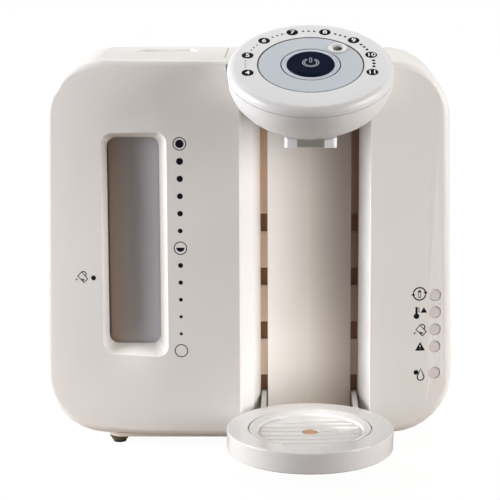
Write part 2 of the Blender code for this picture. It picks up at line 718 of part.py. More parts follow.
def make_base(fascia, housing):
    """Base plate, feet, rubber pads and the screws that hold the shells to the plate."""
    plate_low = (-BASE_WIDTH / 2, FRONT_Y + BASE_FRONT_INSET)
    plate_high = (BASE_WIDTH / 2, REAR_Y - BASE_REAR_INSET)
    outline = rectangle_between(plate_low, plate_high, BASE_CORNER)
    slab = prism(outline, BASE_BOTTOM, BASE_BOTTOM + BASE_THICKNESS)
    plate = as_piece("base_plate", slab, (0.55, 0.5, 0.43), 0.6)
    foot_top = BASE_BOTTOM - GAP
    foot_low = PAD_THICKNESS + GAP
    for end, y in (("front", FRONT_Y + FOOT_FRONT_INSET), ("rear", REAR_Y - FOOT_REAR_INSET)):
        for side, x in (("left", -FOOT_X), ("right", FOOT_X)):
            label = end + "_" + side
            foot = drum(FOOT_BOTTOM_RADIUS, foot_low, foot_top, x, y, top_radius=FOOT_TOP_RADIUS)
            smooth(as_piece("foot_" + label, foot, (0.45, 0.4, 0.3), 0.6))
            pad = drum(PAD_RADIUS, 0.0, PAD_THICKNESS, x, y)
            smooth(as_piece("foot_pad_" + label, pad, (0.08, 0.07, 0.06), 0.8))
    holes = bmesh.new()
    head_rooms = bmesh.new()
    screw_top = FLOOR_Z - GAP - GAP
    for end, y in (("front", FRONT_Y + SCREW_FRONT_INSET), ("rear", REAR_Y - SCREW_REAR_INSET)):
        for side, x in (("left", -FOOT_X), ("right", FOOT_X)):
            add_to(holes, drum(SCREW_SHANK_RADIUS + GAP, 0.0, FLOOR_Z, x, y, 12))
            head_top = BASE_BOTTOM + SCREW_HEAD_HEIGHT + GAP
            add_to(head_rooms, drum(SCREW_HEAD_RADIUS + GAP, 0.0, head_top, x, y, 12))
            profile = [
                (0, screw_top),
                (SCREW_SHANK_RADIUS, screw_top),
                (SCREW_SHANK_RADIUS, head_top - GAP),
                (SCREW_HEAD_RADIUS, head_top - GAP),
                (SCREW_HEAD_RADIUS, head_top - GAP - SCREW_HEAD_HEIGHT * 2 / 3),
                (SCREW_HEAD_RADIUS / 2, BASE_BOTTOM + GAP / 2),
                (0, BASE_BOTTOM + GAP / 2),
            ]
            screw = turned_piece("base_screw_" + end + "_" + side, profile, (0.6, 0.6, 0.6), 0.3, 1.0, steps=12)
            screw.location = (x, y, 0)
    hole_tool = as_tool("screw_hole_cuts", holes)
    cut(plate, hole_tool, as_tool("screw_head_cuts", head_rooms))
    cut(fascia, hole_tool)
    cut(housing, hole_tool)


def bay_path():
    """The bay's wall in plan, from the left edge of its mouth to the right."""
    left_groove, right_groove = groove_sides()
    wall_y = FRONT_Y + BAY_DEPTH
    span = right_groove[0] - left_groove[1]
    path = [
        (BAY_LEFT, FRONT_Y + crown_at(BAY_LEFT) + WALL + GAP),
        (BAY_FOLD_X, FRONT_Y + BAY_FOLD_DEPTH),
        (left_groove[0], wall_y),
        (left_groove[0], GROOVE_FLOOR_Y),
        (left_groove[1], GROOVE_FLOOR_Y),
    ]
    for step in range(HOLLOW_STEPS + 1):
        across = step / HOLLOW_STEPS
        path.append((left_groove[1] + span * across, wall_y + BAY_HOLLOW * math.sin(math.pi * across)))
    path += [
        (right_groove[0], GROOVE_FLOOR_Y),
        (right_groove[1], GROOVE_FLOOR_Y),
        (right_groove[1], wall_y),
        (BAY_RIGHT, FRONT_Y + crown_at(BAY_RIGHT) + WALL + GAP),
    ]
    return path


def make_bay(arch):
    """The bay liner: flanks, grooves with slots for the stand's arms, and a hollow back wall."""
    path = bay_path()
    bm = bmesh.new()
    verts = [bm.verts.new((x, y, FLOOR_Z)) for x, y in path]
    edges = [bm.edges.new(pair) for pair in zip(verts, verts[1:])]
    made = bmesh.ops.extrude_edge_only(bm, edges=edges)
    moved = [item for item in made["geom"] if isinstance(item, bmesh.types.BMVert)]
    bmesh.ops.translate(bm, verts=moved, vec=(0, 0, BAY_TOP - FLOOR_Z))
    mesh = bpy.data.meshes.new("bay_liner")
    bm.to_mesh(mesh)
    bm.free()
    liner = bpy.data.objects.new("bay_liner", mesh)
    PARTS.objects.link(liner)
    liner.data.materials.append(finish_material("bay_liner", (0.84, 0.81, 0.77), 0.35))
    thicken = liner.modifiers.new("wall", "SOLIDIFY")
    thicken.thickness = WALL
    thicken.offset = 1.0
    thicken.use_even_offset = True
    slots = bmesh.new()
    for low_x, high_x in groove_sides():
        for row in range(SLOT_COUNT):
            low = SLOT_LOW + row * SLOT_PITCH - SLOT_HEIGHT / 2
            low_corner = (low_x + GAP, GROOVE_FLOOR_Y - WALL / 2, low)
            high_corner = (high_x - GAP, GROOVE_FLOOR_Y + WALL + OVERRUN, low + SLOT_HEIGHT)
            add_to(slots, block(low_corner, high_corner))
    cut(liner, as_tool("slot_cuts", slots), arch)
    return liner


def make_head_bracket():
    """The steel bracket on the liner's top that carries the head, and the solenoid valve on it."""
    low_z = BAY_TOP + GAP
    front = FRONT_Y + NECK_LENGTH_PAST_FACE + GAP
    plate_low = (AXIS_X - BRACKET_HALF_WIDTH, front, low_z)
    plate_high = (AXIS_X + BRACKET_HALF_WIDTH, front + BRACKET_LENGTH, low_z + BRACKET_THICKNESS)
    bracket = as_piece("head_bracket", block(plate_low, plate_high), (0.7, 0.7, 0.72), 0.35, 1.0)
    flange_low = (AXIS_X - FLANGE_HALF_WIDTH, front, HEAD_Z - CAP_DEPTH - FLANGE_LOW)
    flange_high = (AXIS_X + FLANGE_HALF_WIDTH, front + BRACKET_THICKNESS, BODY_TOP - FLANGE_BELOW_TOP)
    join(bracket, as_tool("bracket_flange", block(flange_low, flange_high)))
    plate_top = low_z + BRACKET_THICKNESS
    window_low = (AXIS_X - FLANGE_WINDOW_REACH_LEFT, front - OVERRUN, plate_top)
    window_high = (AXIS_X + FLANGE_WINDOW_REACH_RIGHT, front + 2 * OVERRUN, plate_top + FLANGE_WINDOW_HEIGHT)
    cut(bracket, as_tool("hose_window_cut", block(window_low, window_high)))
    valve_low = (VALVE_X - VALVE_SIZE[0] / 2, front + VALVE_INSET, plate_top + GAP)
    valve_high = tuple(a + b for a, b in zip(valve_low, VALVE_SIZE))
    as_piece("solenoid_valve", block(valve_low, valve_high), (0.12, 0.12, 0.13), 0.5)
    return valve_low, valve_high


def make_tank():
    """Cradle with its dock, lift-out tank with its outlet valve, and the lid flush with the body's top."""
    low = (TANK_LEFT, TANK_FRONT_Y)
    high = (TANK_RIGHT, TANK_REAR_Y)
    outline = rectangle_between(low, high, TANK_CORNER)
    inner_low = (TANK_LEFT + TANK_WALL, TANK_FRONT_Y + TANK_WALL)
    inner_high = (TANK_RIGHT - TANK_WALL, TANK_REAR_Y - TANK_WALL)
    inner_outline = rectangle_between(inner_low, inner_high, TANK_CORNER - TANK_WALL)
    tank_top = CEILING_Z - GAP
    tank = as_piece("water_tank", prism(outline, TANK_BOTTOM, tank_top), (0.55, 0.55, 0.56), 0.2)
    tank_floor = TANK_BOTTOM + TANK_WALL
    cut(tank, as_tool("tank_hollow", prism(inner_outline, tank_floor, tank_top + OVERRUN)))
    outlet = drum(TANK_VALVE_RADIUS + GAP, TANK_BOTTOM - OVERRUN, tank_floor + OVERRUN, DOCK_X, DOCK_Y)
    cut(tank, as_tool("tank_outlet_cut", outlet))
    smooth(tank)

    cradle_top = TANK_BOTTOM - GAP
    cradle_outline = rectangle_between(low, (TANK_RIGHT, TANK_REAR_Y - CRADLE_REAR_INSET), TANK_CORNER)
    cradle = as_piece("tank_cradle", prism(cradle_outline, FLOOR_Z, cradle_top), (0.8, 0.78, 0.74), 0.5)
    dock = drum(DOCK_RADIUS, DOCK_FLOOR, cradle_top + OVERRUN, DOCK_X, DOCK_Y)
    cut(cradle, as_tool("dock_cut", dock))
    channel = drum(HOSE_RADIUS - WALL / 3, 0.0, TANK_RIGHT - DOCK_X + OVERRUN, steps=12)
    cut(cradle, as_tool("dock_channel_cut", lie_along(channel, "X", (DOCK_X, DOCK_Y, FEED_Z))))
    smooth(cradle)
    seal_middle = (DOCK_RADIUS + TANK_VALVE_RADIUS) / 2
    seal_z = DOCK_FLOOR + GAP
    seal_profile = [
        (DOCK_RADIUS - GAP, seal_z + 2 * SEAL_SECTION),
        (DOCK_RADIUS - GAP, seal_z),
        (seal_middle - SEAL_SECTION, seal_z),
        (seal_middle - SEAL_SECTION, seal_z + SEAL_SECTION),
    ]
    seal = turned_piece("dock_seal", seal_profile, (0.1, 0.1, 0.1), 0.8, steps=SMALL_STEPS, closed=True)
    seal.location = (DOCK_X, DOCK_Y, 0)
    valve_bottom = seal_z + 2 * SEAL_SECTION + GAP
    valve_profile = [
        (0, tank_floor + GAP + 2 * TANK_WALL),
        (TANK_VALVE_RADIUS / 2, tank_floor + GAP + 2 * TANK_WALL),
        (TANK_VALVE_FLANGE, tank_floor + GAP + TANK_WALL),
        (TANK_VALVE_FLANGE, tank_floor + GAP),
        (TANK_VALVE_RADIUS, tank_floor + GAP),
        (TANK_VALVE_RADIUS, valve_bottom + SEAL_SECTION),
        (TANK_VALVE_RADIUS - SEAL_SECTION, valve_bottom),
        (0, valve_bottom),
    ]
    valve = turned_piece("tank_valve", valve_profile, (0.2, 0.3, 0.45), 0.5, steps=SMALL_STEPS)
    valve.location = (DOCK_X, DOCK_Y, 0)

    margin = LID_MARGIN - RUNNING_GAP
    lid_outline = rectangle_between(
        (TANK_LEFT - margin, TANK_FRONT_Y - margin), (TANK_RIGHT + margin, TANK_REAR_Y + margin), LID_CORNER
    )
    lid = as_piece("tank_lid", prism(lid_outline, CEILING_Z, BODY_TOP), (0.83, 0.79, 0.74), 0.4)
    skirt_gap = RUNNING_GAP
    skirt_low = (inner_low[0] + skirt_gap, inner_low[1] + skirt_gap)
    skirt_high = (inner_high[0] - skirt_gap, inner_high[1] - skirt_gap)
    skirt_outline = rectangle_between(skirt_low, skirt_high, TANK_CORNER - TANK_WALL - skirt_gap)
    skirt = as_tool("lid_skirt", prism(skirt_outline, CEILING_Z - LID_SKIRT, CEILING_Z + WALL / 2))
    room_low = (skirt_low[0] + LID_SKIRT_WALL, skirt_low[1] + LID_SKIRT_WALL)
    room_high = (skirt_high[0] - LID_SKIRT_WALL, skirt_high[1] - LID_SKIRT_WALL)
    room_outline = rectangle_between(room_low, room_high, TANK_CORNER - TANK_WALL - LID_SKIRT_WALL - skirt_gap)
    cut(skirt, as_tool("lid_skirt_room", prism(room_outline, CEILING_Z - LID_SKIRT - OVERRUN, CEILING_Z)))
    join(lid, skirt)
    cup_width = LID_POCKET_WIDTH + 2 * LID_POCKET_WALL
    cup_length = LID_POCKET_LENGTH + 2 * LID_POCKET_WALL
    cup_outline = rounded_rectangle(cup_width, cup_length, LID_POCKET_LENGTH / 2, 6)
    cup_bottom = BODY_TOP - LID_POCKET_DEPTH - LID_POCKET_WALL
    cup = as_tool("lid_pocket_wall", prism(cup_outline, cup_bottom, CEILING_Z + WALL / 2))
    cup.location = (DOCK_X, DOCK_Y, 0)
    join(lid, cup)
    corner = LID_POCKET_LENGTH / 2 - LID_POCKET_WALL
    pocket_outline = rounded_rectangle(LID_POCKET_WIDTH, LID_POCKET_LENGTH, corner, 6)
    pocket = as_tool("lid_pocket_cut", prism(pocket_outline, BODY_TOP - LID_POCKET_DEPTH, BODY_TOP + OVERRUN))
    pocket.location = (DOCK_X, DOCK_Y, 0)
    cut(lid, pocket)
    smooth(lid)


def hinge_centre():
    return Vector((CHAMBER_X, DOOR_REAR_Y - RUNNING_GAP - WALL / 2, BODY_TOP - WALL / 2))


def pin_half_length():
    return (DOOR_RIGHT - DOOR_LEFT) / 2 + HINGE_PIN_OVERLAP


def chamber_ports():
    return CHAMBER_BOTTOM + 4 * STUB_RADIUS, CEILING_Z - GAP - WALL - 4 * STUB_RADIUS


def make_filter():
    """Filter door on its hinge pin, and below it the chamber with its cartridge and twist cap."""
    hinge = hinge_centre()
    half = (DOOR_RIGHT - DOOR_LEFT) / 2 - RUNNING_GAP
    length = hinge.y - DOOR_FRONT_Y - RUNNING_GAP
    door_outline = [(0, -WALL / 2), (-length, -WALL / 2), (-length, WALL / 2), (0, WALL / 2)]
    for step in range(1, CORNER_STEPS):
        angle = math.pi * step / CORNER_STEPS
        door_outline.append((WALL / 2 * math.sin(angle), WALL / 2 * math.cos(angle)))
    plate = prism(door_outline, -half, half)
    across = Matrix(((0, 0, 1), (1, 0, 0), (0, 1, 0)))
    bmesh.ops.transform(plate, matrix=across.to_4x4(), verts=plate.verts)
    door = as_piece("filter_door", plate, (0.83, 0.79, 0.74), 0.4)
    door.location = hinge
    bore = drum(HINGE_PIN_RADIUS + HINGE_HOLE_GAP, -pin_half_length(), pin_half_length(), steps=10)
    cut(door, as_tool("door_bore_cut", lie_along(bore, "X", hinge)))
    corner_outline = rounded_rectangle(2 * half, 2 * (length + OVERRUN), DOOR_CORNER - RUNNING_GAP)
    corners = as_tool("door_outline", prism(corner_outline, -WALL, WALL))
    corners.location = hinge + Vector((0, OVERRUN, 0))
    combine(door, corners, "INTERSECT")
    smooth(door)
    pin = drum(HINGE_PIN_RADIUS, -pin_half_length(), pin_half_length(), steps=10)
    smooth(as_piece("hinge_pin", lie_along(pin, "X", hinge), (0.7, 0.7, 0.7), 0.3, 1.0))

    flange_top = CEILING_Z - GAP
    margin = CHAMBER_FLANGE_MARGIN
    flange_outline = rectangle_between(
        (DOOR_LEFT - margin, DOOR_FRONT_Y - margin), (DOOR_RIGHT + margin, DOOR_REAR_Y + margin), DOOR_CORNER
    )
    flange = prism(flange_outline, flange_top - WALL, flange_top)
    chamber = as_piece("filter_chamber", flange, (0.8, 0.8, 0.8), 0.4)
    cup = drum(CHAMBER_RADIUS, CHAMBER_BOTTOM, flange_top - WALL / 2, CHAMBER_X, CHAMBER_Y, ROUND_STEPS)
    join(chamber, as_tool("chamber_cup", cup))
    for label, height in zip(("low", "high"), chamber_ports()):
        join(chamber, as_tool("chamber_stub_" + label, stub(CHAMBER_X, CHAMBER_RADIUS, CHAMBER_Y, height)))
    seat_z = flange_top - CAP_SEAT_BELOW_TOP
    upper_bore = CHAMBER_RADIUS - CHAMBER_WALL
    lower_bore = upper_bore - CAP_STEP
    bore_profile = [
        (0, flange_top + OVERRUN),
        (upper_bore, flange_top + OVERRUN),
        (upper_bore, seat_z),
        (lower_bore, seat_z),
        (lower_bore, CHAMBER_BOTTOM + CHAMBER_WALL),
        (0, CHAMBER_BOTTOM + CHAMBER_WALL),
    ]
    bore = turned_tool("chamber_bore_cut", bore_profile)
    bore.location = (CHAMBER_X, CHAMBER_Y, 0)
    cut(chamber, bore)
    smooth(chamber)

    cap_radius = upper_bore - GAP
    cap_low = seat_z + GAP
    cap_profile = [
        (0, cap_low + CAP_HEIGHT),
        (cap_radius - FRONT_EDGE / 4, cap_low + CAP_HEIGHT),
        (cap_radius, cap_low + CAP_HEIGHT - FRONT_EDGE / 4),
        (cap_radius, cap_low),
        (0, cap_low),
    ]
    cap = turned_piece("filter_cap", cap_profile, (0.3, 0.45, 0.62), 0.45)
    cap.location = (CHAMBER_X, CHAMBER_Y, 0)
    grip_outline = rounded_rectangle(CAP_GRIP[0], CAP_GRIP[1], CAP_GRIP[1] / 3, 3)
    grip = prism(grip_outline, cap_low + CAP_HEIGHT - GAP, cap_low + CAP_HEIGHT + CAP_GRIP[2])
    grip_tool = as_tool("cap_grip", grip)
    grip_tool.location = (CHAMBER_X, CHAMBER_Y, 0)
    join(cap, grip_tool)
    cartridge_radius = lower_bore - CARTRIDGE_GAP
    low = CHAMBER_BOTTOM + CHAMBER_WALL + GAP
    high = seat_z - CARTRIDGE_GAP
    neck = cartridge_radius * CARTRIDGE_NECK_SHARE
    cartridge_profile = [
        (0, high),
        (neck, high),
        (neck, high - CAP_HEIGHT),
        (cartridge_radius, high - CAP_HEIGHT - FRONT_EDGE),
        (cartridge_radius, low + FRONT_EDGE),
        (cartridge_radius - FRONT_EDGE / 2, low),
        (0, low),
    ]
    cartridge = turned_piece("filter_cartridge", cartridge_profile, (0.9, 0.9, 0.88), 0.5)
    cartridge.location = (CHAMBER_X, CHAMBER_Y, 0)


def stub(centre_x, radius, y, z, side=-1):
    """A short pipe end that stands out of an upright cylinder along -X or +X."""
    reach = radius + STUB_LENGTH
    start = radius - WALL / 2
    middle = centre_x + side * (start + reach) / 2
    half_length = (reach - start) / 2
    return lie_along(drum(STUB_RADIUS, -half_length, half_length, steps=12), "X", (middle, y, z))


def tilted(piece, axis_frame):
    piece.parent = axis_frame
    return piece


def make_head(pocket):
    """The head: bowl with its neck, cap with the scale, dial, light ring, button and boards."""
    axis_frame = bpy.data.objects.new("head_axis", None)
    axis_frame.location = HEAD_CENTRE
    axis_frame.rotation_euler = (HEAD_TILT, 0, 0)
    PARTS.objects.link(axis_frame)
    white = (0.87, 0.87, 0.86)

    bowl_top = -CAP_DEPTH - GAP
    outer_profile = [(0, bowl_top)] + bowl_curve(HEAD_RADIUS, BOWL_DEPTH, bowl_top)
    bowl = tilted(turned_piece("head_bowl", outer_profile, white, 0.3), axis_frame)
    neck_end = FRONT_Y + NECK_LENGTH_PAST_FACE
    join(bowl, as_tool("neck", neck_block(0.0, neck_end)))
    ledge_radius = HEAD_RADIUS - BOWL_WALL
    inner_radius = ledge_radius - BOWL_WALL
    ledge_z = bowl_top - BOWL_LEDGE_DEPTH
    inner_profile = [(0, CAP_DEPTH), (ledge_radius, CAP_DEPTH), (ledge_radius, ledge_z)]
    inner_profile += bowl_curve(inner_radius, BOWL_DEPTH - BOWL_LEDGE_DEPTH - BOWL_WALL, ledge_z)
    inner = tilted(turned_tool("bowl_hollow", inner_profile), axis_frame)
    cut(bowl, inner, as_tool("neck_hollow", neck_block(-BOWL_WALL, neck_end + OVERRUN)))
    pipe_holes = bmesh.new()
    for side in (-1, 1):
        x = AXIS_X + side * PIPE_HALF_SPACING
        pipe_top = SHROUD_BOTTOM + PIPE_LENGTH
        hole = drum(PIPE_RADIUS + GAP, SHROUD_BOTTOM, pipe_top, x, AXIS_Y - SHROUD_OFFSET, 16)
        add_to(pipe_holes, hole)
    cut(bowl, as_tool("pipe_hole_cuts", pipe_holes))

    rim = HEAD_RADIUS
    inner_edge = DIAL_RADIUS + SEAM_GAP
    cap_profile = [(inner_edge, 0), (FACE_RADIUS, 0)]
    for step in range(1, RIM_STEPS + 1):
        angle = math.pi / 2 * step / RIM_STEPS
        reach = FACE_RADIUS + (rim - FACE_RADIUS) * math.sin(angle)
        cap_profile.append((reach, -RIM_ROUND * (1 - math.cos(angle))))
    cap_profile += [
        (rim, -CAP_DEPTH),
        (rim - CAP_THICKNESS, -CAP_DEPTH),
        (rim - CAP_THICKNESS, -CAP_DEPTH / 2),
        (FACE_RADIUS, -CAP_THICKNESS),
        (inner_edge, -CAP_THICKNESS),
    ]
    tilted(turned_piece("head_cap", cap_profile, white, 0.35, closed=True), axis_frame)

    carrier_bottom = ledge_z + GAP
    carrier_top = carrier_bottom + CARRIER_THICKNESS
    ring_bottom = -LIGHT_RING_THICKNESS - GAP
    ring_inner = BUTTON_RADIUS + SEAM_GAP
    tube_inner = ring_inner + GAP
    carrier_profile = [
        (0, carrier_top),
        (tube_inner, carrier_top),
        (tube_inner, ring_bottom - GAP),
        (tube_inner + CARRIER_TUBE_WALL, ring_bottom - GAP),
        (tube_inner + CARRIER_TUBE_WALL, carrier_top),
        (ledge_radius - GAP, carrier_top),
        (ledge_radius - GAP, carrier_bottom),
        (0, carrier_bottom),
    ]
    tilted(turned_piece("dial_carrier", carrier_profile, (0.25, 0.25, 0.26), 0.5), axis_frame)
    board_top = carrier_bottom - GAP
    board_profile = [
        (0, board_top),
        (CONTROL_BOARD_RADIUS, board_top),
        (CONTROL_BOARD_RADIUS, board_top - BOARD_THICKNESS),
        (0, board_top - BOARD_THICKNESS),
    ]
    tilted(turned_piece("control_board", board_profile, (0.05, 0.3, 0.15), 0.4), axis_frame)

    dial_inner = LIGHT_RING_RADIUS + SEAM_GAP
    dial_profile = [
        (dial_inner, -SEAM_GAP),
        (dial_inner + SEAM_GAP, 0),
        (DIAL_RADIUS - SEAM_GAP, 0),
        (DIAL_RADIUS, -SEAM_GAP),
        (DIAL_RADIUS, -DIAL_THICKNESS),
        (DIAL_SKIRT_RADIUS, -DIAL_THICKNESS),
        (DIAL_SKIRT_RADIUS, carrier_top + GAP),
        (DIAL_SKIRT_RADIUS - DIAL_SKIRT_WALL, carrier_top + GAP),
        (DIAL_SKIRT_RADIUS - DIAL_SKIRT_WALL, -DIAL_THICKNESS),
        (dial_inner, -DIAL_THICKNESS),
    ]
    dial = tilted(turned_piece("volume_dial", dial_profile, (0.7, 0.73, 0.77), 0.35, closed=True), axis_frame)
    dimple_x = DIMPLE_RADIUS_ON_DIAL * math.cos(DIMPLE_ANGLE)
    dimple_y = DIMPLE_RADIUS_ON_DIAL * math.sin(DIMPLE_ANGLE)
    dish = bmesh.new()
    ball = (DIMPLE_WIDTH**2 / 4 + DIMPLE_DEPTH**2) / (2 * DIMPLE_DEPTH)
    bmesh.ops.create_uvsphere(dish, u_segments=ROUND_STEPS, v_segments=ROUND_STEPS, radius=ball)
    bmesh.ops.translate(dish, verts=dish.verts, vec=(dimple_x, dimple_y, ball - DIMPLE_DEPTH))
    cut(dial, tilted(as_tool("dimple_cut", dish), axis_frame))
    hole = drum(DIMPLE_HOLE / 2, -DIAL_THICKNESS - OVERRUN, OVERRUN, dimple_x, dimple_y, 16)
    cut(dial, tilted(as_tool("dimple_hole_cut", hole), axis_frame))

    ring_profile = [
        (ring_inner, -GAP),
        (LIGHT_RING_RADIUS, -GAP),
        (LIGHT_RING_RADIUS, ring_bottom),
        (ring_inner, ring_bottom),
    ]
    tilted(turned_piece("light_ring", ring_profile, (0.82, 0.84, 0.88), 0.3, closed=True), axis_frame)
    switch_top = carrier_top + GAP + SWITCH_HEIGHT
    stem_bottom = switch_top + BUTTON_TRAVEL + GAP
    button_profile = [
        (0, BUTTON_CROWN),
        (BUTTON_RADIUS / 2, BUTTON_CROWN * 3 / 4),
        (BUTTON_RADIUS - BUTTON_CROWN, 0),
        (BUTTON_RADIUS, -BUTTON_CROWN),
        (BUTTON_RADIUS, -BUTTON_HEIGHT),
        (BUTTON_STEM_RADIUS, -BUTTON_HEIGHT),
        (BUTTON_STEM_RADIUS, stem_bottom),
        (0, stem_bottom),
    ]
    tilted(turned_piece("start_button", button_profile, (0.02, 0.03, 0.07), 0.25), axis_frame)
    half = SWITCH_SIZE / 2
    switch = block((-half, -half, carrier_top + GAP), (half, half, switch_top))
    tilted(as_piece("button_switch", switch, (0.15, 0.15, 0.15), 0.5), axis_frame)

    shroud_y = AXIS_Y - SHROUD_OFFSET
    outline = rounded_rectangle(SHROUD_WIDTH, SHROUD_LENGTH, SHROUD_LOBE / 3, 5)
    shroud_body = prism(outline, SHROUD_BOTTOM, SHROUD_BOTTOM + SHROUD_HEIGHT)
    shroud = as_piece("nozzle_shroud", shroud_body, white, 0.35)
    shroud.location = (AXIS_X, shroud_y, 0)
    middle = SHROUD_WIDTH / 2 - SHROUD_LOBE
    recess_low = (-middle, -SHROUD_LENGTH / 2 - OVERRUN, SHROUD_BOTTOM - OVERRUN)
    recess_high = (middle, -SHROUD_LENGTH / 2 + SHROUD_RECESS, SHROUD_BOTTOM + SHROUD_HEIGHT + OVERRUN)
    recess = as_tool("shroud_recess_cut", block(recess_low, recess_high))
    recess.location = shroud.location
    cut(shroud, recess, pocket_for_shroud(axis_frame), as_tool("shroud_pipe_cuts", shroud_pipe_holes(shroud_y)))
    smooth(shroud)
    for label, side in (("hot", -1), ("cold", 1)):
        low = SHROUD_BOTTOM + GAP
        high = SHROUD_BOTTOM + PIPE_LENGTH - GAP
        profile = [(PIPE_RADIUS, high), (PIPE_RADIUS, low), (PIPE_BORE, low), (PIPE_BORE, high)]
        pipe = turned_piece(label + "_nozzle", profile, (0.75, 0.76, 0.78), 0.3, steps=16, closed=True)
        pipe.location = (AXIS_X + side * PIPE_HALF_SPACING, shroud_y, 0)
    return shroud_y


def pocket_for_shroud(axis_frame):
    """The bowl's underside with a gap, which trims the shroud's top."""
    top = -CAP_DEPTH - GAP
    profile = [(0, top)] + bowl_curve(HEAD_RADIUS + GAP, BOWL_DEPTH + GAP, top)
    return tilted(turned_tool("shroud_top_cut", profile), axis_frame)


def shroud_pipe_holes(shroud_y):
    holes = bmesh.new()
    for side in (-1, 1):
        x = AXIS_X + side * PIPE_HALF_SPACING
        high = SHROUD_BOTTOM + SHROUD_HEIGHT + OVERRUN
        add_to(holes, drum(PIPE_RADIUS + GAP, SHROUD_BOTTOM - OVERRUN, high, x, shroud_y, 16))
    return holes


def make_stand():
    """Bottle stand with two arms for the grooves, and the drip insert that lifts out of it."""
    rim = STAND_RIM_HEIGHT
    low = rim - STAND_WALL_HEIGHT
    ledge = rim - DISH_LEDGE
    inner = DISH_RADIUS - 2 * INSERT_LIP
    profile = [
        (0, low + STAND_FLOOR),
        (inner, low + STAND_FLOOR),
        (inner, ledge),
        (DISH_RADIUS, ledge),
        (DISH_RADIUS, rim - STAND_EDGE / 4),
        (DISH_RADIUS + STAND_EDGE / 2, rim),
        (STAND_RADIUS - STAND_EDGE, rim),
        (STAND_RADIUS - STAND_EDGE / 4, rim - STAND_EDGE / 4),
        (STAND_RADIUS, rim - STAND_EDGE),
        (STAND_RADIUS - STAND_EDGE / 4, low + STAND_EDGE / 2),
        (STAND_RADIUS - STAND_EDGE, low),
        (0, low),
    ]
    stand = turned_piece("bottle_stand", profile, (0.9, 0.9, 0.9), 0.15, steps=ROUND_STEPS + SMALL_STEPS)
    stand.location = (AXIS_X, AXIS_Y, 0)
    for label, side in (("left", -1), ("right", 1)):
        centre = AXIS_X + side * ARM_HALF_SPACING
        start = AXIS_Y + math.sqrt(STAND_RADIUS**2 - ARM_HALF_SPACING**2) - 3 * WALL
        arm_low = (centre - ARM_WIDTH / 2, start, rim - ARM_HEIGHT)
        arm_high = (centre + ARM_WIDTH / 2, GROOVE_FLOOR_Y - RUNNING_GAP, rim - GAP)
        join(stand, as_tool("stand_arm_" + label, block(arm_low, arm_high)))

    lip_low = ledge + GAP
    lip_top = rim - INSERT_SINK
    lip_radius = DISH_RADIUS - RUNNING_GAP
    floor_top = rim - INSERT_DEPTH
    wall_top = inner - 2 * RUNNING_GAP
    profile = [
        (0, floor_top),
        (INSERT_FLOOR_RADIUS, floor_top),
        (INSERT_FLOOR_RADIUS + INSERT_THICKNESS / 2, floor_top + INSERT_THICKNESS),
        (wall_top + INSERT_THICKNESS, lip_top - INSERT_THICKNESS / 2),
        (lip_radius - INSERT_THICKNESS / 2, lip_top),
        (lip_radius, lip_top - INSERT_THICKNESS / 4),
        (lip_radius, lip_low),
        (wall_top, lip_low),
        (wall_top - INSERT_THICKNESS / 4, lip_low - INSERT_THICKNESS),
        (INSERT_FLOOR_RADIUS, floor_top - INSERT_THICKNESS),
        (0, floor_top - INSERT_THICKNESS),
    ]
    insert = turned_piece("drip_insert", profile, (0.9, 0.9, 0.9), 0.15)
    insert.location = (AXIS_X, AXIS_Y, 0)
    ribs = bmesh.new()
    for row in range(INSERT_RIB_COUNT):
        offset = (row - (INSERT_RIB_COUNT - 1) / 2) * INSERT_RIB_PITCH
        half = math.sqrt(INSERT_RIB_REACH**2 - offset**2)
        rib_low = (-half, offset - INSERT_RIB_WIDTH / 2, floor_top - INSERT_THICKNESS / 2)
        add_to(ribs, block(rib_low, (half, offset + INSERT_RIB_WIDTH / 2, floor_top + INSERT_RIB_HEIGHT)))
    rib_tool = as_tool("insert_ribs", ribs)
    rib_tool.location = insert.location
    join(insert, rib_tool)
    hole = as_tool("finger_hole_cut", drum(INSERT_HOLE_RADIUS, floor_top - WALL, floor_top + WALL))
    hole.location = insert.location
    cut(insert, hole)


